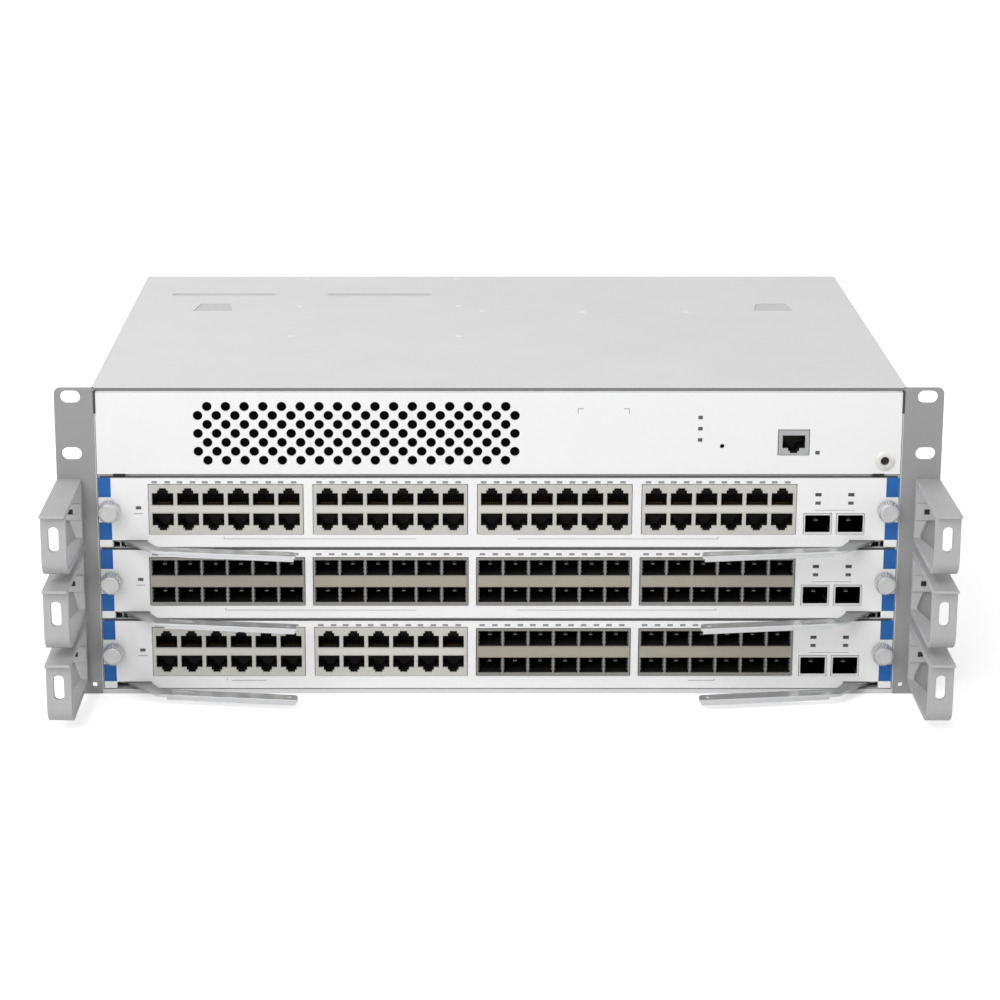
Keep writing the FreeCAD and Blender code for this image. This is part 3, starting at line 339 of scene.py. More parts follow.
dark_ink = moulded("dark_ink", (66, 66, 66), 0.50, 0.003)
idle_light = clear_pipe("idle_light", (92, 94, 90), 0.02)
print("finishes:", len(bpy.data.materials))

# %% [markdown]
# ## Outlines
# Sheet-metal parts are outlines with openings, given a thickness. An outline is a list of
# points round a closed loop. Corners are rounded by replacing each with an arc, worked out
# for the whole loop at once.


# %% Loops in a plane
def circle(a, b, radius, count):
    """Points at equal angles round a centre."""
    angle = np.linspace(0, 2 * np.pi, count, endpoint=False)
    return np.stack((a + radius * np.cos(angle), b + radius * np.sin(angle)), axis=1)


def rounded(points, radii, steps=5):
    """Each corner becomes an arc: both arms are left where the arc touches them, and the
    arc's middle points follow a circle about the centre on the corner's half-angle line."""
    points = np.array(points, float)
    radii = np.broadcast_to(np.array(radii, float), len(points))
    before = np.roll(points, 1, axis=0) - points
    after = np.roll(points, -1, axis=0) - points
    before /= np.linalg.norm(before, axis=1, keepdims=True)
    after /= np.linalg.norm(after, axis=1, keepdims=True)
    half = np.arccos(np.clip((before * after).sum(1), -1, 1)) / 2
    middle = before + after
    middle /= np.maximum(np.linalg.norm(middle, axis=1, keepdims=True), 1e-9)
    centre = points + middle * (radii / np.sin(half))[:, None]
    start = points + before * (radii / np.tan(half))[:, None] - centre
    turn = np.pi - 2 * half
    across = np.stack((-start[:, 1], start[:, 0]), axis=1)
    way = -np.sign((across * before).sum(1))
    angle = np.linspace(0, 1, steps + 1)[None, :] * (turn * way)[:, None]
    along = start[:, None] * np.cos(angle)[..., None]
    sideways = across[:, None] * np.sin(angle)[..., None]
    loop = (centre[:, None] + along + sideways).reshape(-1, 2)
    apart = np.linalg.norm(loop - np.roll(loop, 1, axis=0), axis=1) > 1e-6
    return loop[apart]


def rectangle(a0, a1, b0, b1, radius=0.0, steps=4):
    """An upright rectangle between two corners, with rounded corners if asked."""
    return rounded([(a0, b0), (a1, b0), (a1, b1), (a0, b1)], radius, steps)


def centred(a, b, width, height, radius=0.0, steps=4):
    """A rectangle about a centre."""
    return rectangle(a - width / 2, a + width / 2, b - height / 2, b + height / 2, radius, steps)


def grown(loop, distance):
    """The loop moved outwards by a distance, each point along the mitre of its two sides. The
    sign of the loop's area says which way round it runs."""
    following = np.roll(loop, -1, axis=0)
    sign = np.sign((loop[:, 0] * following[:, 1] - following[:, 0] * loop[:, 1]).sum())
    ahead = following - loop
    ahead /= np.linalg.norm(ahead, axis=1, keepdims=True)
    normal = np.stack((ahead[:, 1], -ahead[:, 0]), axis=1) * sign
    earlier = np.roll(normal, 1, axis=0)
    mitre = (normal + earlier) / (1 + (normal * earlier).sum(1))[:, None]
    return loop + mitre * distance


def inside(points, loop):
    """Even-odd rule: a point is inside if a level ray from it crosses the loop an odd
    number of times."""
    following = np.roll(loop, -1, axis=0)
    a, b = points[:, 0][:, None], points[:, 1][:, None]
    straddles = (loop[:, 1] > b) != (following[:, 1] > b)
    rise = np.where(following[:, 1] == loop[:, 1], 1.0, following[:, 1] - loop[:, 1])
    crossing = loop[:, 0] + (b - loop[:, 1]) / rise * (following[:, 0] - loop[:, 0])
    return (straddles & (a < crossing)).sum(1) % 2 == 1


# %% [markdown]
# ## Forms
# A `Form` gathers the patches of one piece. `rings` joins a stack of equal loops with quads,
# which covers tubes, turned parts, cups and sheet edges. `sheet` is an outline with openings
# and slightly broken edges. Placing is one rule: plane coordinates a and b, and a level along
# the axis that the outline looks along.


# %% Patches gathered into pieces
SHARP_ANGLE = 32


def risen(profile, level):
    """A turned profile whose levels are counted from this one."""
    return [(radius, level + rise) for radius, rise in profile]


def placed(loop, level, axis):
    """Plane points at a level along an axis, as X, Y, Z."""
    a, b = loop[:, 0], loop[:, 1]
    level = np.broadcast_to(level, a.shape)
    order = {"x": (level, a, b), "y": (a, level, b), "z": (a, b, level)}
    return np.stack(order[axis], axis=1)


class Form:
    """The patches of one piece, each with the number of its finish."""

    def __init__(self, *finishes):
        self.finishes = finishes
        self.points, self.faces, self.kinds, self.total = [], [], [], 0

    def add(self, points, faces, kind=0):
        """One patch: points, and faces that count from its own first point."""
        self.points.append(np.asarray(points, float))
        self.faces += [[corner + self.total for corner in face] for face in faces]
        self.kinds += [kind] * len(faces)
        self.total += len(points)

    def rings(self, rings, kind=0, ends=True, closed=False, around=True):
        """Quads between neighbouring rings; flat ends, or the last ring joined to the first.
        Without around, each ring stays open, so the quads make a strip."""
        rings = np.asarray(rings, float)
        count, size = rings.shape[:2]
        index = np.arange(count * size).reshape(count, size)
        upper = np.roll(index, -1, axis=0) if closed else index[1:]
        lower = index if closed else index[:-1]
        quads = np.stack((lower, np.roll(lower, -1, 1), np.roll(upper, -1, 1), upper), axis=-1)
        faces = quads[:, :size if around else size - 1].reshape(-1, 4).tolist()
        if ends and not closed:
            faces += [index[0][::-1].tolist(), index[-1].tolist()]
        self.add(rings.reshape(-1, 3), faces, kind)

    def stack(self, profile, axis, kind=0, **joins):
        """Rings of equal loops, each given with its level along the axis."""
        self.rings([placed(loop, level, axis) for loop, level in profile], kind, **joins)

    def flat(self, loops, level, axis, kind=0):
        """The flat area inside the first loop and outside the others, in triangles."""
        points = np.concatenate(loops)
        edges, start = [], 0
        for loop in loops:
            ring = np.arange(len(loop))
            edges += (np.stack((ring, np.roll(ring, -1)), axis=1) + start).tolist()
            start += len(loop)
        found = delaunay_2d_cdt(points.tolist(), edges, [], 0, 1e-6, False)
        points, triangles = np.array([tuple(point) for point in found[0]]), np.array(found[2])
        centres = points[triangles].mean(axis=1)
        keep = inside(centres, loops[0])
        for loop in loops[1:]:
            keep &= ~inside(centres, loop)
        self.add(placed(points, level, axis), triangles[keep].tolist(), kind)

    def sheet(self, outer, holes, low, high, axis, edge=0.15, kind=0):
        """A plate: two flats, and round every loop an edge profile of two small chamfers."""
        shrunk = [grown(outer, -edge)] + [grown(hole, edge) for hole in holes]
        for whole, small in zip([outer, *holes], shrunk):
            profile = ((small, low), (whole, low + edge), (whole, high - edge), (small, high))
            self.stack(profile, axis, kind, ends=False)
        self.flat(shrunk, low, axis, kind)
        self.flat(shrunk, high, axis, kind)

    def slab(self, x, y, z, edge=0.15, kind=0):
        """A block between two X, two Y and two Z values, with broken edges."""
        (x0, x1), (y0, y1), (low, high) = [sorted(pair) for pair in (x, y, z)]
        whole = rectangle(x0, x1, y0, y1, edge, 1)
        small = grown(whole, -edge * 0.9)
        profile = ((small, low), (whole, low + edge), (whole, high - edge), (small, high))
        self.stack(profile, "z", kind)

    def cup(self, loop, wall, mouth, depth, kind=0):
        """A pocket along Y: out along its outside, over the rim and down its inside."""
        outer = grown(loop, wall)
        profile = ((outer, depth + wall), (outer, mouth), (loop, mouth), (loop, depth))
        self.stack(profile, "y", kind)

    def turned(self, profile, centre, axis="y", count=40, ripple=None, kind=0):
        """A profile of radius and level carried round an axis; ripple(angle) adds to rings
        whose third number is 1."""
        angle = np.linspace(0, 2 * np.pi, count, endpoint=False)
        wave = np.zeros(count) if ripple is None else ripple(angle)
        rows = [(*row, 0)[:3] for row in profile]
        loops = [circle(*centre, radius + wave * share, count) for radius, _, share in rows]
        self.stack([(loop, row[1]) for loop, row in zip(loops, rows)], axis, kind)

    def wire(self, path, radius, kind=0, closed=False):
        """A round section carried along a path that faces the front: each ring is
        Y * cos + outward * sin."""
        forward, corners = np.array((0.0, 1.0, 0.0)), 8
        around = np.roll(path, -1, 0) - np.roll(path, 1, 0)
        ahead = around if closed else np.gradient(path, axis=0)
        ahead /= np.linalg.norm(ahead, axis=1, keepdims=True)
        outward = np.cross(ahead, forward)[:, None]
        angle = np.linspace(0, 2 * np.pi, corners, endpoint=False)[None, :, None]
        ring = np.cos(angle) * forward + np.sin(angle) * outward
        self.rings(path[:, None] + radius * ring, kind, ends=not closed, closed=closed)

    def bricks(self, size, centres, kind=0, shear=0.0):
        """Small blocks of one size at many centres, all at once; shear lifts their far end."""
        corner = np.array([(x, y, z) for x in (-1, 1) for y in (-1, 1) for z in (-1, 1)]) * 0.5
        points = corner * np.array(size, float)
        points[:, 2] += shear * points[:, 1]
        faces = [(0, 1, 3, 2), (4, 6, 7, 5), (0, 4, 5, 1)]
        faces += [(2, 3, 7, 6), (0, 2, 6, 4), (1, 5, 7, 3)]
        many = (points[None] + np.asarray(centres, float)[:, None]).reshape(-1, 3)
        shift = np.arange(len(centres))[:, None, None] * len(points)
        self.add(many, (np.asarray(faces)[None] + shift).reshape(-1, 4).tolist(), kind)

    def piece(self, name, body, slot, *stands_for):
        """Makes the mesh, turns every face outwards and hands the piece to its body."""
        mesh = bpy.data.meshes.new(name)
        mesh.from_pydata((np.concatenate(self.points) * MM).tolist(), [], self.faces)
        for finish in self.finishes:
            mesh.materials.append(finish)
        mesh.polygons.foreach_set("material_index", self.kinds)
        tidy = bmesh.new()
        tidy.from_mesh(mesh)
        bmesh.ops.remove_doubles(tidy, verts=tidy.verts, dist=1e-7)
        bmesh.ops.recalc_face_normals(tidy, faces=tidy.faces)
        tidy.to_mesh(mesh)
        tidy.free()
        mesh.shade_smooth()
        mesh.set_sharp_from_angle(angle=math.radians(SHARP_ANGLE))
        made = in_scene(name, mesh)
        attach(made, body)
        if stands_for:
            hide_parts(*stands_for)
        print(name, "has", len(self.faces), "faces")


# %% [markdown]
# ## Front panel
# The upper panel is a shallow tray of folded sheet. Its grille is seven staggered rows of round
# holes: 17 and 18 in turn. All holes are loops of one `sheet`, so the grille is real openings.

# %% The perforated panel
FACE = 1.5
HOLE = 2.62
HOLE_PITCH, ROW_PITCH = 10.14, 5.03
ROW_TOP, ROWS = 164.58, 7
PANEL_LIGHTS = ((109.6, 158.5), (109.6, 152.2), (109.6, 145.9))
RESET = (121.7, 142.4)
SMALL_LIGHT = (173.7, 138.75)
GROUND = (210.6, 134.1)


def grille_places():
    """Centres of all the holes: odd rows start half a pitch further in and have one hole less."""
    places = []
    for row in range(ROWS):
        shorter = row % 2 == 0
        count = 17 if shorter else 18
        first = -158.5 if shorter else -163.6
        places += [(first + i * HOLE_PITCH, ROW_TOP - row * ROW_PITCH) for i in range(count)]
    return places


def upper_panel():
    """The face with its openings, and the folds that run back from its edges."""
    x0, x1, y0, y1, z0, z1 = span("front_panel")
    jack = span("management_jack")
    holes = [circle(x, z, HOLE, 20) for x, z in grille_places()]
    holes += [centred(x, z, 2.4, 1.9, 0.3, 2) for x, z in (*PANEL_LIGHTS, SMALL_LIGHT)]
    holes += [circle(*RESET, 1.25, 20), circle(*GROUND, 4.0, 24)]
    holes.append(rectangle(jack[0] - 0.3, jack[1] + 0.3, jack[4] - 0.3, jack[5] + 0.3))
    form = Form(white_paint)
    form.sheet(rectangle(x0, x1, z0 + 0.4, z1 - 0.6, 0.6, 3), holes, y0, y0 + FACE, "y", 0.2)
    form.slab((x0, x1), (FACE - 0.2, y1), (z1 - FACE, z1))
    form.slab((x0, x1), (FACE - 0.2, y1), (z0, z0 + FACE))
    for edge, inner in ((x0, x0 + FACE), (x1, x1 - FACE)):
        form.slab((edge, inner), (FACE - 0.2, y1), (z0 + FACE, z1 - FACE))
    form.piece("upper_panel", "chassis", "casing", "front_panel")


upper_panel()

# %% [markdown]
# Behind the grille lies a sheet of black filter foam; its near-black is also painted shade for
# the dark inside seen through the holes. The panel's small fittings are its lights, the reset
# pinhole and the earthing socket.

# %% Fittings of the panel
def panel_fittings():
    """Foam behind the grille, and thin printed corner marks."""
    # The foam's near-black colour is painted shade for the inside of the casing behind the
    # grille.
    foam = Form(filter_foam_and_shade)
    foam.slab((-172, 20), (FACE + 0.2, FACE + 4.2), (129.4, 170.0), 0.4)
    foam.piece("grille_foam", "chassis", "dark_plastic")
    print_marks = Form(grey_ink)
    for x, way in ((42.8, 1), (71.0, -1)):
        print_marks.slab((x, x + 3.2 * way), (-0.05, 0.05), (163.2, 163.6), 0.02)
        print_marks.slab((x, x + 0.4 * way), (-0.05, 0.05), (160.6, 163.2), 0.02)
    print_marks.piece("panel_print", "chassis", "casing")


def ground_socket():
    """A flanged metal socket: flange, rounded lip and bore, turned in one profile."""
    y0, y1 = span("ground_jack")[2:4]
    form = Form(plated_brass, black_plastic_and_shade)
    bore = [(2.3, y1), (2.3, y0 + 0.5), (2.7, y0)]
    lip = [(4.4, y0), (5.3, y0 + 0.4), (5.4, 0.0), (3.85, 0.0), (3.85, y1)]
    profile = [(circle(*GROUND, radius, 40), level) for radius, level in bore + lip]
    form.stack(profile, "y", closed=True)
    # The black disc down the bore is painted shade for the inside of the hole.
    form.turned([(2.25, y0 + 2.5), (2.25, y0 + 3.5)], GROUND, "y", 24, kind=1)
    form.piece("ground_socket", "chassis", "brass", "ground_jack")


panel_fittings()
ground_socket()

# %% [markdown]
# ## Port blocks
# A card carries blocks of twelve ports in two facing rows of six. Jacks and module cages have
# other mouths and other sizes, but a block of either is built the same way: a face with its
# openings, a skirt behind it, a cup behind each opening and a bar between the rows.

# %% A block of twelve ports
PORTS = 6
PROUD = 0.6
SHELL, BAR, WELL, METAL = range(4)
JACKS = Sizes(
    pitch=13.8, middle=14.1, gap=2.3, half=42.2, height=28.0, corner=0.5, face=1.0, edge=0.18,
    wall=0.7, back=15.0, depth=25.4, cup=(0.35, 0.6, 13.4), bar=(41.4, 1.7, 0.12),
)
CAGES = Sizes(
    pitch=14.05, middle=13.95, gap=3.4, half=42.6, height=27.3, corner=0.4, face=0.6, edge=0.15,
    wall=0.6, back=41.0, depth=46.4, cup=(0.3, 0.3, 39.4), bar=(42.2, 3.1, 0.15),
)
BLOCKS = {"j": JACKS, "c": CAGES}


def port_columns(x, sizes):
    """The middles of six ports side by side, about the middle of their block."""
    return x + (np.arange(PORTS) - (PORTS - 1) / 2) * sizes.pitch


def port_block(form, x, floor, sizes, mouth):
    """Everything two kinds of block share; returns where the ports are."""
    columns, middle = port_columns(x, sizes), floor + sizes.middle
    rows = [(middle + way * sizes.gap, way) for way in (1, -1)]
    mouths = [mouth(column, z, way) for z, way in rows for column in columns]
    half, top, inset = sizes.half, floor + sizes.height, 0.6
    outline = rectangle(x - half, x + half, floor, top, sizes.corner, 2)
    form.sheet(outline, mouths, -PROUD, sizes.face, "y", sizes.edge)
    form.sheet(outline, [grown(outline, -sizes.wall)], sizes.face, sizes.depth, "y", 0.1)
    across, rise = (x - half + inset, x + half - inset), (floor + inset, top - inset)
    form.slab(across, (sizes.back, sizes.depth - 0.2), rise, 0.2)
    # Black cups behind the mouths: in the jacks the black insert of the jack, in the cages
    # painted shade for the inside of the metal cage.
    for loop in mouths:
        form.cup(loop, *sizes.cup, WELL)
    reach, share, edge = sizes.bar
    form.slab((x - reach, x + reach), (-0.85, -0.5), (middle - share, middle + share), edge, BAR)
    return columns, rows


print("jack block in millimetres:", 2 * JACKS.half, "by", JACKS.height)
print("cage block in millimetres:", 2 * CAGES.half, "by", CAGES.height)

# %% [markdown]
# ## Jacks
# A network jack's mouth is a wide slot with a narrower key for the plug's catch, in two steps.
# Behind each mouth hangs a black cup with eight sprung contacts on the side away from the key.

# %% Jacks
JACK_HALF, JACK_HEIGHT = 5.85, 6.9
KEY_HALF, CATCH_HALF = 3.0, 2.0
KEY_RISE, CATCH_RISE = 1.6, 2.8
CONTACTS, CONTACT_PITCH = 8, 1.02
CONTACT = (0.36, 9.0, 0.32)


def jack_mouth(x, z, way, half=JACK_HALF, height=JACK_HEIGHT):
    """Half of the outline as widths and heights, then mirrored; way says where the key points."""
    key, catch = height + KEY_RISE, height + CATCH_RISE
    widths = np.array([half, half, KEY_HALF, KEY_HALF, CATCH_HALF, CATCH_HALF])
    heights = np.array([0, height, height, key, key, catch])
    right = np.stack((x + widths, z + way * heights), axis=1)
    left = np.stack((x - widths, z + way * heights), axis=1)[::-1]
    return np.concatenate((right, left))[::way]


def contacts(form, x, z, way, kind):
    """Eight thin sprung wires that rise into the cup, side by side."""
    across = x + (np.arange(CONTACTS) - (CONTACTS - 1) / 2) * CONTACT_PITCH
    centres = [(place, 7.5, z + way * 1.6) for place in across]
    form.bricks(CONTACT, centres, kind, shear=0.22 * way)


def jack_block(form, x, floor):
    """Twelve jacks with their contacts, and a small post at both sides of every mouth."""
    columns, rows = port_block(form, x, floor, JACKS, jack_mouth)
    for z, way in rows:
        for column in columns:
            contacts(form, column, z, way, METAL)
        places = [column + side * 6.4 for column in columns for side in (-1, 1)]
        form.bricks((0.5, 0.3, 1.5), [(place, -0.65, z + way * 4.6) for place in places], BAR)


print("jack mouth in millimetres:", 2 * JACK_HALF, "by", JACK_HEIGHT + CATCH_RISE)

# %% [markdown]
# ## Module cages
# A pluggable-module cage is folded from thin plated sheet. Its mouth is a plain rectangle,
# with spring fingers at both sides of the rim and a small catch on its floor. The two uplink
# cages stand alone at the right-hand end of a card.

# %% Cages
CAGE_WIDTH, CAGE_HEIGHT = 12.9, 8.7
UPLINK = Sizes(half=7.5, height=11.5)
CATCH_DEPTH, CATCH_SLOPE = 9.5, 0.3


def cage_mouth(x, z, way):
    """Plain opening that starts at z and runs up or down."""
    low, high = sorted((z, z + way * CAGE_HEIGHT))
    return rectangle(x - CAGE_WIDTH / 2, x + CAGE_WIDTH / 2, low, high, 0.25, 2)


def cage_block(form, x, floor):
    """Twelve cages, each with a catch and with three fingers at each side."""
    columns, rows = port_block(form, x, floor, CAGES, cage_mouth)
    for z, way in rows:
        base = min(z, z + way * CAGE_HEIGHT)
        catches = [(column, CATCH_DEPTH, base + 4.6) for column in columns]
        form.bricks((2.0, 3.4, 0.6), catches, SHELL, CATCH_SLOPE)
        edges = [column + side * 6.2 for column in columns for side in (-1, 1)]
        fingers = [(place, 1.6, base + rise) for place in edges for rise in (2, 4.3, 6.6)]
        form.bricks((0.3, 3.0, 1.2), fingers, SHELL)


def uplink_cage(form, x, floor):
    """A single larger cage: frame, body, cup and catch."""
    half, low = UPLINK.half, floor + 1.1
    outline = rectangle(x - half, x + half, floor, floor + UPLINK.height, 0.4, 2)
    mouth = rectangle(x - half + 0.65, x + half - 0.65, low, floor + 10.8, 0.3, 2)
    form.sheet(outline, [mouth], -PROUD, 47.4, "y", 0.15)
    # The black cup is painted shade for the dark inside of the metal cage.
    form.cup(mouth, 0.25, 0.2, 45.0, 1)
    form.bricks((2.2, 3.4, 0.6), [(x, CATCH_DEPTH, low + 5.0)], 2, CATCH_SLOPE)


print("cage mouth in millimetres:", CAGE_WIDTH, "by", CAGE_HEIGHT)

# %% [markdown]
# ## Cards
# All three cards share one faceplate; only their port blocks differ. The printed fields and
# thin lines are inks laid a few hundredths of a millimetre proud of the paint.

# %% Faceplates
CARD_LAYOUT = {1: "jjjj", 2: "cccc", 3: "jjcc"}
BLOCK_X = -149.2 + 90.0 * np.arange(4)
UPLINK_X = (175.0, 193.0)
BOARD_RISE, WINDOW_GAP = 7.5, 0.25
SCREW_RISE, SCREW_X = 21.6, 213.0
NOTCH = (192.5, 211.8, 3.8)
SHADOW_GAP = 0.9
LIGHTS = ((-197.1, 22.3), *[(x, 25.0) for x in UPLINK_X])


def card_face(card):
    """The folded front sheet: notched outline, openings and the folds along its long edges."""
    x0, x1, y0, y1, z0, z1 = span(f"card_{card}_faceplate")
    inner, outer, rise = NOTCH
    corners = [(x0, 0), (-outer, 0), (-outer, rise), (-inner, rise), (-inner, 0)]
    corners += [(-x, z) for x, z in corners[::-1]]
    corners += [(x1, z1 - z0 - SHADOW_GAP), (x0, z1 - z0 - SHADOW_GAP)]
    outline = np.array(corners, float) + (0, z0)
    floor = z0 + BOARD_RISE
    holes = [circle(side * SCREW_X, z0 + SCREW_RISE, 2.3, 20) for _, side in SIDES]
    windows = [(x, BLOCKS[kind]) for x, kind in zip(BLOCK_X, CARD_LAYOUT[card])]
    for x, sizes in windows + [(x, UPLINK) for x in UPLINK_X]:
        reach, top = sizes.half + WINDOW_GAP, floor + sizes.height + WINDOW_GAP
        holes.append(rectangle(x - reach, x + reach, floor - WINDOW_GAP, top))
    lights = [(x, z0 + rise) for x, rise in LIGHTS]
    holes += [centred(x, z, 3.0, 1.8, 0.3, 2) for x, z in lights]
    form = Form(white_paint, idle_light, painted_shade_grey)
    form.sheet(outline, holes, y0, y0 + FACE, "y", 0.18)
    # A dark grey strip behind the top edge where a gasket sits: its colour is painted shade for
    # the seam above the card.
    seam_shade_low = z1 - SHADOW_GAP - 0.1
    form.slab((x0 + 1, x1 - 1), (0.4, FACE - 0.1), (seam_shade_low, z1 - 0.1), 0.1, 2)
    form.slab((-205.2, 205.2), (FACE - 0.2, y1), (z1 - SHEET, z1))
    form.slab((-inner + 0.4, inner - 0.4), (FACE - 0.2, y1), (z0, z0 + 0.8))
    for x, z in lights:
        form.slab((x - 1.45, x + 1.45), (0.15, 4.0), (z - 0.85, z + 0.85), 0.1, 1)
    form.piece(f"card_{card}_face", f"card_{card}", "faceplate", f"card_{card}_faceplate")


print("middles of the blocks in millimetres:", BLOCK_X.round(1).tolist())

# %% [markdown]
# The inks: blue fields at both ends of a card, a thin line with upright ends under the ports,
# and small blank marks where the port numbers are.

# %% Printed marks
INK_DEPTH = (-0.06, 0.05)
LINE_RISE, LINE = 4.5, 0.3
LINE_ENDS = (-150.5, 120.5)
WIDE_LINES = ((-150.5, -45.0), (10.5, 120.5))
LINES = {1: WIDE_LINES, 2: WIDE_LINES, 3: ((-148.0, -128.5), (106.0, 120.5))}
BLUE_RISES = ((28.4, 39.5), (4.1, 14.1))
MARK_RISE, MARK = 36.9, (3.1, 0.10, 1.3)


def card_print(card):
    """Blue end fields, lines under the ports, and the small marks above and beside them."""
    z0 = span(f"card_{card}_faceplate")[4]
    form = Form(blue_ink, grey_ink, dark_ink)

    def field(x, rises, edge=0.02, kind=1):
        form.slab(x, INK_DEPTH, [z0 + rise for rise in rises], edge, kind)

    for _, side in SIDES:
        for rises in BLUE_RISES:
            field((side * 212.0, side * 218.9), rises, 0.03, 0)
    for ends in LINES[card]:
        field(ends, (LINE_RISE, LINE_RISE + LINE))
    for x in LINE_ENDS:
        field((x - LINE / 2, x + LINE / 2), (LINE_RISE, 6.0))
    for x in UPLINK_X:
        field((x - 1.7, x + 1.7), (28.9, 30.8), 0.03, 2)
    field((173.0, 195.0), (20.9, 21.15))
    field((-199.6, -194.6), (18.9, 19.3))
    columns = [port_columns(x, BLOCKS[kind]) for x, kind in zip(BLOCK_X, CARD_LAYOUT[card])]
    places = [column + shift for column in np.concatenate(columns) for shift in (-4.4, 2.7)]
    form.bricks(MARK, [(place, -0.01, z0 + MARK_RISE) for place in places], 1)
    form.piece(f"card_{card}_print", f"card_{card}", "faceplate")


print("number marks on a full card:", 2 * PORTS * len(BLOCK_X))

# %% [markdown]
# Last come the ports themselves, one piece for all the blocks of a kind on a card.

# %% The cards, with their ports
PORT_KINDS = (
    ("j", "jack", "port", jack_block, (jack_shell, jack_bar, black_plastic_and_shade, contact_gold)),
    ("c", "cage", "cage", cage_block, (cage_sheet, cage_bar, black_plastic_and_shade)),
)


def card_ports(card):
    """Every port block and uplink cage of one card."""
    floor = span(f"card_{card}_faceplate")[4] + BOARD_RISE
    for kind, word, slot, build, finishes in PORT_KINDS:
        places = [x for x, found in zip(BLOCK_X, CARD_LAYOUT[card]) if found == kind]
        if not places:
            continue
        form = Form(*finishes)
        for x in places:
            build(form, x, floor)
        name = f"card_{card}_{word}_block"
        form.piece(f"{name}_set", f"card_{card}", slot, f"{name}s")
    form = Form(uplink_shell, black_plastic_and_shade, cage_sheet)
    for x in UPLINK_X:
        uplink_cage(form, x, floor)
    form.piece(f"card_{card}_uplinks", f"card_{card}", "cage", f"card_{card}_uplink_cages")


for card in CARDS:
    card_face(card)
    card_print(card)
    card_ports(card)

# %% [markdown]
# The management jack is the same mouth in a small shielded housing of its own, key down.

# %% Management jack
def management_jack():
    """Frame, mouth, cup and contacts of the single jack."""
    x0, x1, y0, y1, z0, z1 = span("management_jack")
    x, base = (x0 + x1) / 2, z0 + 10.9
    form = Form(shield_sheet, black_plastic_and_shade, contact_gold)
    mouth = jack_mouth(x, base, -1, 6.1, 7.1)
    outline = rectangle(x0, x1, z0, z1, 0.5, 3)
    form.sheet(outline, [mouth], y0, y0 + 1.6, "y", 0.25)
    form.sheet(outline, [grown(outline, -0.6)], y0 + 1.6, y1, "y", 0.1)
    form.cup(mouth, 0.35, y0 + 1.2, 13.4, 1)
    contacts(form, x, base, -1, 2)
    form.piece("management_port", "chassis", "cage", "management_jack")


management_jack()

# %% [markdown]
# ## Knobs
# Each card is held by two captive screws with broad knobs. A knob is a turned profile; on the
# rings of its rim a cosine of the angle adds the knurling.

# %% Knobs
KNURLS = 24


def knob(card, word, side):
    """Shank, collar, knurled rim, chamfer and a slightly hollow face."""
    node = f"card_{card}_thumbscrew_{word}"
    x0, x1, y0, y1, z0, z1 = span(node)
    centre = ((x0 + x1) / 2, (z0 + z1) / 2)
    back = y0 + 8.6
    profile = [
        (1.9, y1), (2.0, y1 - 0.4), (2.0, -0.35), (4.5, -0.35), (4.6, -0.5), (4.6, back),
        (5.2, back), (5.6, back - 0.4, 1), (5.6, y0 + 1.6, 1), (5.3, y0 + 1.1, 0.5),
        (4.75, y0 + 0.1), (4.5, y0), (3.9, y0), (3.7, y0 + 0.25), (0.5, y0 + 0.35),
    ]
    form = Form(knob_metal)
    form.turned(profile, centre, "y", KNURLS * 4, lambda angle: 0.38 * np.cos(KNURLS * angle))
    form.piece(f"card_{card}_knob_{word}", node, "knob", node)


# %% [markdown]
# ## Ejector levers
# The lever is a flat bent arm of sheet metal. Its front edge is turned down as a lip, so it is
# stiff, and it has an oblong slot near the bend and a small eye near the tip.

# %% Levers
PIVOT = (203.0, 8.0)
BEND, TIP = (186.0, -16.0), (110.0, -26.0)
ARM = 4.5


def lever_plan():
    """Outline of the right-hand lever: toe, boss, neck, bend and long arm, corners rounded."""
    corners = [
        (216.5, 4.5), (216.5, 9.75), (203.0, 13.0), (198.5, 9.75),
        (BEND[0] + 0.6, BEND[1] + ARM), (TIP[0], TIP[1] + ARM),
        (TIP[0], TIP[1] - ARM), (BEND[0] + 1.75, BEND[1] - ARM), (207.4, 2.4),
    ]
    return rounded(corners[::-1], [2.0, 6.0, 0.8, 3.2, 6.0, 3.0, 4.0, 1.2, 1.2], 6)


def lever(card, word, side):
    """Plate with its slot, eye and bore, and the lip under its front edge."""
    node = f"card_{card}_lever_{word}"
    z0, z1 = span(node)[4:]
    ahead = np.array((BEND[0] - TIP[0], BEND[1] - TIP[1]))
    ahead /= np.linalg.norm(ahead)
    middle = np.array(BEND) - ahead * 12.5 + (0.0, 0.3)
    slot = centred(0, 0, 13.0, 3.0, 1.45, 6)
    turn = np.array([ahead, (-ahead[1], ahead[0])])
    holes = [middle + slot @ turn, circle(TIP[0] + 4.6, TIP[1], 1.3, 16), circle(*PIVOT, 2.6, 24)]
    form = Form(lever_metal_and_shade)
    flip = np.array((side, 1))
    form.sheet(lever_plan() * flip, [hole * flip for hole in holes], z1 - 1.5, z1, "z", 0.2)
    start = np.array((BEND[0] - 4.0, BEND[1] - ARM)) + ahead * 0.5
    finish = np.array((TIP[0] + 1.0, TIP[1] - ARM + 0.1))
    lip = np.array([start, finish, finish + (0, 1.3), start + (0, 1.3)])
    form.sheet(lip * flip, [], z0, z1 - 0.4, "z", 0.25)
    form.piece(f"card_{card}_arm_{word}", node, "lever", node)


for card in CARDS:
    for word, side in SIDES:
        knob(card, word, side)
        lever(card, word, side)

# %% [markdown]
# ## Rack ears and cable guides
# The ears are angles that bolt the chassis to the rack's posts: two round-ended slots above,
# and the guides' pads below.

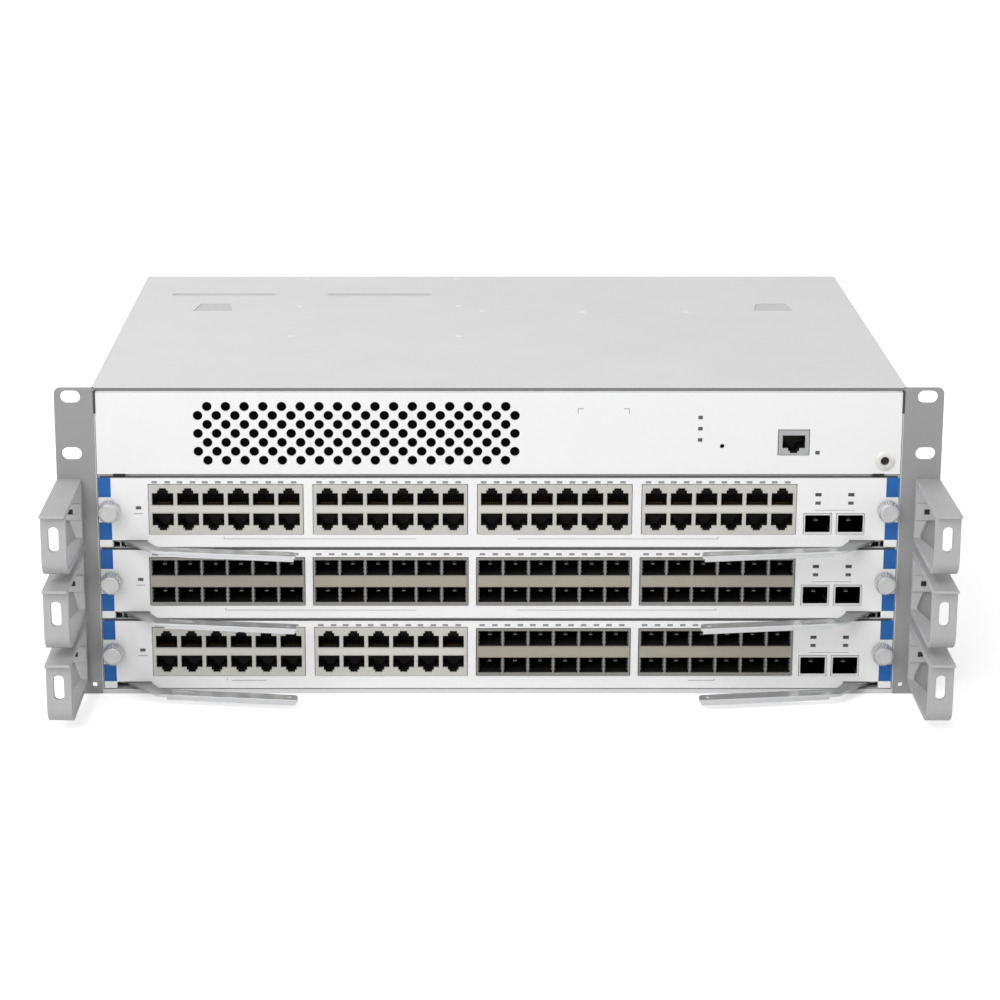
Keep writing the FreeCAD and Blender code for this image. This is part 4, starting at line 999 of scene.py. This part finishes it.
# %% Ears
EAR_SLOTS, SLOT_X = (170.05, 138.3), 232.55
JIG_HOLE = (224.3, 5.3)
EAR_LAP = 1.25
LEG_FRONT, LEG_LOW, LEG_HIGH = 1.8, 12, 163


def rack_ear(word, side):
    """Front plate with slots, rounded outer corners, and the leg along the casing."""
    node = f"rack_ear_{word}"
    x0, x1, _, y1, z0, z1 = span(node)
    near, far = sorted((abs(x0), abs(x1)))
    cover = near - EAR_LAP
    flip = np.array((side, 1))
    outline = rectangle(cover, far, z0, z1, [0, 3.2, 3.2, 0], 6)
    holes = [centred(SLOT_X, z, 10.9, 7.0, 3.45, 8) for z in EAR_SLOTS]
    holes += [centred(*JIG_HOLE, 2.6, 2.6, 0.4, 2)]
    form = Form(ear_paint)
    form.sheet(outline * flip, [hole * flip for hole in holes], -0.15, 2.0, "y", 0.25)
    leg = rectangle(LEG_FRONT, y1, LEG_LOW, LEG_HIGH, [0, 6, 6, 0], 6)
    seats = [circle(48.0, z, 1.9, 16) for z in (24.0, 151.0)]
    form.sheet(leg, seats, *sorted((side * near, side * (near + 2.0))), "x", 0.2)
    form.piece(f"ear_{word}", "chassis", "ear", node)


# %% [markdown]
# A guide is a D-shaped ring, open to the sides, whose front wall has an upright slot. Its
# floor narrows backwards, so the background shows through the slot.

# %% Cable guides
GUIDE_WALL = 3.0
GUIDE_LIP, LIP_SHEET = 5.0, 1.5
GUIDE_TAPER = 10.0
GUIDE_SLOT, SLOT_DROP = (5.4, 13.7), 14.25
NOSE_TURN, PAD_HALF = 10.0, 4.7


def guide_outside(y0, nose, z0, z1):
    """Side view of the ring from outside: round lower nose, and the lip over its top."""
    under = z1 - LIP_SHEET
    corners = [(0, z0), (nose, z0), (nose, under), (y0, under), (y0, z1), (0, z1)]
    return rounded(corners, [0, NOSE_TURN, 0.6, 0.5, 0.9, 0], 10)


def guide_hollow(nose, z0, z1):
    """Side view of the ring's inside."""
    wall = GUIDE_WALL
    turns = [2.0, NOSE_TURN - wall, 1.6, 2.0]
    return rectangle(-wall, nose + wall, z0 + wall, z1 - wall, turns, 10)


def open_at_nose(loop, nose):
    """Turns the loop so that its last side is the longest upright one at the nose."""
    following = np.roll(loop, -1, axis=0)
    upright = (np.abs(loop[:, 0] - nose) < 1e-6) & (np.abs(following[:, 0] - nose) < 1e-6)
    length = np.where(upright, np.abs(following[:, 1] - loop[:, 1]), 0)
    return np.roll(loop, -int(np.argmax(length)) - 1, axis=0)


def cable_guide(number, word, side):
    """Ring of walls, its nose pierced by an upright slot, and the clip pad on the ear.

    The floor narrows towards the ear: its outer edge moves inwards in proportion to y.
    """
    node = f"cable_guide_{word}_{number}"
    x0, x1, y0, _, z0, z1 = span(node)
    inner, outer = sorted((abs(x0), abs(x1)))
    low, high, centre = x0, x1, (z0 + z1) / 2
    edge, wall, nose = 0.3, GUIDE_WALL, y0 + GUIDE_LIP
    form = Form(guide_plastic, black_plastic_and_shade)
    outside, hollow = guide_outside(y0, nose, z0, z1), guide_hollow(nose, z0, z1)
    slot = centred((low + high) / 2, z1 - SLOT_DROP, *GUIDE_SLOT, 2.5, 8)
    for loop, grow, level in ((outside, -edge, nose), (hollow, edge, nose + wall)):
        strip = open_at_nose(loop, level)
        form.stack([(strip, low + edge), (strip, high - edge)], "x", ends=False, around=False)
        form.stack([(grown(loop, grow), low), (loop, low + edge)], "x", ends=False)
        form.stack([(loop, high - edge), (grown(loop, grow), high)], "x", ends=False)
        wall_face = rectangle(low + edge, high - edge, strip[-1, 1], strip[0, 1])
        form.flat([wall_face, grown(slot, edge)], level, "y")
    for level in (low, high):
        form.flat([grown(outside, -edge), grown(hollow, edge)], level, "x")
    rim = ((edge, nose), (0, nose + edge), (0, nose + wall - edge), (edge, nose + wall))
    form.stack([(grown(slot, grow), level) for grow, level in rim], "y", ends=False)
    for points in form.points:
        x, y, z = points.T
        back = np.clip((y - nose - NOSE_TURN) / (-wall - nose - NOSE_TURN), 0, 1)
        below = (z < centre) & (np.abs(x) > (inner + outer) / 2)
        points[:, 0] -= side * GUIDE_TAPER * back * below
    pad = rectangle(low + 0.1, high - 0.1, centre - PAD_HALF, centre + PAD_HALF, 0.6, 3)
    hole_x, half = side * (inner + 6.4), 1.5
    hole = centred(hole_x, centre, 2 * half, 2 * half, 0.3, 2)
    form.sheet(pad, [hole], -wall - 1.2, -0.02, "y", 0.3)
    # The black square in the pad's hole is painted shade for the hole's depth.
    x_ends, z_ends = (hole_x - half, hole_x + half), (centre - half, centre + half)
    form.slab(x_ends, (-wall - 0.2, -wall - 0.05), z_ends, 0.05, 1)
    form.piece(f"guide_{word}_{number}", "chassis", "guide", node)


for word, side in SIDES:
    rack_ear(word, side)
    for number in CARDS:
        cable_guide(number, word, side)

# %% [markdown]
# ## Fans
# Two fans pull air out at the back. A blade is an aerofoil section carried outwards: at each
# radius it is turned a little more and set flatter, which is what bends a real blade. The
# guard is concentric wire rings on four spokes.

# %% Fans
FAN_Z = 64.7
FAN_X = (-75.0, 75.0)
FAN_BORE = 50.6
SCREW_OFFSET = 45
WIRE_RADII = (18.0, 26.0, 34.0, 42.0)
MOTOR_CUP = ((17, -7), (17, -3.4), (16, -2.6), (13, -2.4), (12.6, -2.8), (1, -2.8))
SCREW_HEAD = ((3.4, -0.1), (3.4, 0.6), (2.8, 1.3), (1.2, 1.5), (0.9, 0.9), (0.2, 0.8))


def fan_housing():
    """Plate and ducts as sheets with round openings, then rings, spokes and motor cups."""
    x0, x1, y0, y1, z0, z1 = span("fan_frame")
    form = Form(fan_plastic, zinc_sheet)
    bores = [circle(x, FAN_Z, FAN_BORE, 72) for x in FAN_X]
    form.sheet(rectangle(x0, x1, z0, z1, 3.0, 6), bores, y1 - 1.5, y1, "y", 0.25)
    form.sheet(rectangle(x0 + 5, x1 - 5, z0 + 5, z1 - 5, 4.0, 6), bores, y0, y1 - 1.4, "y", 0.3)
    reach = np.linspace(12.0, FAN_BORE + 0.6, 4)
    for x in FAN_X:
        for radius in WIRE_RADII:
            form.wire(placed(circle(x, FAN_Z, radius, 72), y1 - 1.0, "y"), 0.8, 1, closed=True)
        for turn in np.radians((45, 135, 225, 315)):
            spoke = np.stack((x + reach * np.cos(turn), FAN_Z + reach * np.sin(turn)), axis=1)
            form.wire(placed(spoke, y1 - 2.2, "y"), 1.0, 1)
        form.turned(risen(MOTOR_CUP, y1), (x, FAN_Z))
        for corner in centred(x, FAN_Z, 2 * SCREW_OFFSET, 2 * SCREW_OFFSET):
            form.turned(risen(SCREW_HEAD, y1), corner, "y", 20, kind=1)
    form.piece("fan_housing", "chassis", "dark_plastic", "fan_frame")


fan_housing()

# %% [markdown]
# The rotors turn inside the frame, each a hub with six such blades.

# %% Rotors
BLADES = 6
BLADE_ROOT, BLADE_LENGTH = 20.0, 28.4


def fan_blade(form, centre, middle, start):
    """Rings at rising radii: at radius r a point v along the section lies at the angle
    start + sweep + (v - 1/2) * width / r and the level middle + (1/2 - v) * pitch + camber."""
    share = np.linspace(0, 1, 9)[:, None]
    radius = BLADE_ROOT + share * BLADE_LENGTH
    v = np.concatenate((np.linspace(0, 1, 9), np.linspace(1, 0, 9)[1:-1]))[None, :]
    face = np.concatenate((np.ones(9), -np.ones(7)))[None, :]
    width, pitch = 21.0 + 9.0 * share, 21.0 - 8.0 * share
    arch = np.sin(np.pi * v)
    level = middle + (0.5 - v) * pitch + 2.2 * arch + face * 0.85 * np.sqrt(arch + 0.02)
    angle = start + 0.35 * share ** 2 + (v - 0.5) * width / radius
    x, z = centre[0] + radius * np.cos(angle), centre[1] + radius * np.sin(angle)
    form.rings(np.stack((x, level, z), axis=-1))


def fan_rotor(number):
    """Turned hub with a domed face, and its blades."""
    node = f"fan_rotor_{number}"
    x0, x1, y0, y1, z0, z1 = span(node)
    centre = ((x0 + x1) / 2, (z0 + z1) / 2)
    form = Form(fan_plastic)
    front = [(3, y0 + 2.0), (3.2, y0), (18.0, y0), (20.0, y0 + 2.0), (20.5, y0 + 4.0)]
    form.turned([*front, (20.5, y1), (3, y1), (3, y1 - 1)], centre, "y", 56)
    for turn in np.arange(BLADES) * 2 * np.pi / BLADES:
        fan_blade(form, centre, (y0 + y1) / 2, turn)
    form.piece(f"rotor_{number}", node, "dark_plastic", node)


for number in (1, 2):
    fan_rotor(number)

# %% [markdown]
# ## Small fittings
# The cover carries the heads of its rivets. Two dark clips sit in the seam between the panel
# and the first card.

# %% Rivets and clips
RIVETS = (
    (-118.5, 217.5), (-119.5, 131.5), (-21.0, 217.5), (-21.3, 131.5), (-6.5, 202.6),
    (54.9, 199.6), (117.5, 199.6), (-118.3, 302.3), (-22.0, 302.3),
)
RIVET_HEAD = ((2.0, -0.2), (2.0, 0.05), (1.6, 0.25), (0.8, 0.3), (0.6, 0.1))
RIVET_PIN = ((0.55, 0.12), (0.3, 0.2))


def cover_rivets():
    """Low domed heads on the cover, each a short turned profile."""
    top = span("top_cover")[5]
    form = Form(white_paint, painted_shade_grey)
    for place in RIVETS:
        form.turned(risen(RIVET_HEAD, top), place, "z", 16)
        # The dark grey pin in each head is painted shade for the rivet's hollow middle.
        form.turned(risen(RIVET_PIN, top), place, "z", 12, kind=1)
    form.piece("cover_rivets", "chassis", "steel")


def seam_clips():
    """Two flat clips under the panel's lower edge, and a dark grey strip at each end higher up:
    painted shade for the slot beside the ear.
    """
    low = span("front_panel")[4]
    form = Form(black_plastic_and_shade, painted_shade_grey)
    for _, side in SIDES:
        form.slab((side * 204.0, side * 210.4), (-0.25, 4.0), (low - 0.55, low + 0.75), 0.1)
        # Painted shade: a dark grey strip for the slot between the panel's end and the ear.
        form.slab((side * 218.9, side * 220.2), (-0.4, 1.0), (low + 34.6, low + 47.2), 0.1, 1)
    form.piece("seam_clips", "chassis", "dark_plastic")


cover_rivets()
seam_clips()

# %% [markdown]
# ## Finishes of the pieces kept from the CAD model
# These are sheets, boards and blocks whose CAD form already is the real form. Only their
# material slots are filled; their meshes stay as they are.

# %% CAD pieces
KEPT = {
    casing_paint: ["chassis_base"],
    cover_paint_and_shade: ["top_cover"],
    zinc_sheet: [
        "bay_divider", "card_rails", *[f"card_{card}_tray" for card in CARDS],
        "supply_1_case", "supply_2_case", "chassis_screws",
    ],
    solder_mask: [
        "backplane", "power_board", "management_board", *[f"card_{card}_board" for card in CARDS],
    ],
    idle_light: ["status_lights"],
    inlet_plastic: ["supply_1_inlet", "supply_2_inlet", "reset_button"],
    latch_plastic: ["supply_1_latch", "supply_2_latch"],
}
for material, names in KEPT.items():
    for name in names:
        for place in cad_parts[name].material_slots:
            place.material = material
print("CAD pieces kept:", sum(len(names) for names in KEPT.values()))

# %% [markdown]
# ## Studio
# The photograph has a white background and even, soft light from above and in front. One large
# lamp does most of it, a weaker one fills each side, and the pale floor keeps the shadow.

# %% Floor, backdrop and lamps
NEAR, FAR = 0.7, 2.5
LAMPS = (
    ("key", (-1.2, -2.3, 2.0), 2.2, 48),
    ("fill_left", (-2.2, -1.6, 0.9), 1.6, 8),
    ("fill_right", (2.2, -1.6, 1.0), 1.6, 9),
    ("top", (-1.3, 0.7, 2.1), 1.4, 13),
)


def studio_floor():
    """A wide level floor; the camera sees it brighter far out, so that it meets the white."""
    mesh = bpy.data.meshes.new("studio_floor")
    reach = 9.0
    corners = [(-reach, -reach, 0), (reach, -reach, 0), (reach, reach, 0), (-reach, reach, 0)]
    mesh.from_pydata(corners, [], [(0, 1, 2, 3)])
    made = Finish("floor_paper", (246, 246, 246), 0.9)
    path = made.node("ShaderNodeLightPath", {}, output="Is Camera Ray")
    out = made.node("ShaderNodeVectorMath", {"operation": "LENGTH"}, made.place, output="Value")
    glow = made.node("ShaderNodeMapRange", {}, out, NEAR, FAR, 0.5, 1.0)
    seen = made.mix(path * glow, (0, 0, 0, 1), (1, 1, 1, 1))
    made.set(Base_Color=made.shade(made.noise(400, 2), 0.01))
    made.set(Emission_Color=seen, Emission_Strength=1.0)
    mesh.materials.append(made.material)
    in_scene("studio_floor", mesh)


def lamp(name, place, size, power):
    """A square lamp turned towards the front of the chassis."""
    data = bpy.data.lights.new(name, "AREA")
    data.size, data.energy = size, power
    made = in_scene(name, data)
    made.location = place
    aim = np.array((0.0, 0.1, 0.09)) - np.array(place)
    flat = math.hypot(aim[0], aim[1])
    turn = math.atan2(aim[1], aim[0]) - math.pi / 2
    made.rotation_euler = (math.atan2(flat, -aim[2]), 0, turn)


def backdrop():
    """White for what the camera sees directly or in gloss, softer for the light on the object."""
    world = bpy.data.worlds.new("studio")
    bpy.context.scene.world = world
    world.use_nodes = True
    studio, light = Nodes(world.node_tree), world.node_tree.nodes["Background"]
    kinds = [f"Is {word} Ray" for word in ("Camera", "Transmission", "Glossy")]
    seen, clear, gloss = [studio.node("ShaderNodeLightPath", {}, output=kind) for kind in kinds]
    seen = seen.math("MAXIMUM", clear).math("MAXIMUM", gloss)
    level = studio.node("ShaderNodeMapRange", {}, seen, To_Min=0.42, To_Max=1.0)
    studio.plug(light.inputs["Strength"], level)
    studio.plug(light.inputs["Color"], (1, 1, 1, 1))


studio_floor()
backdrop()
for row in LAMPS:
    lamp(*row)
bpy.context.scene.view_settings.view_transform = "Standard"
print("lamps:", len(LAMPS))
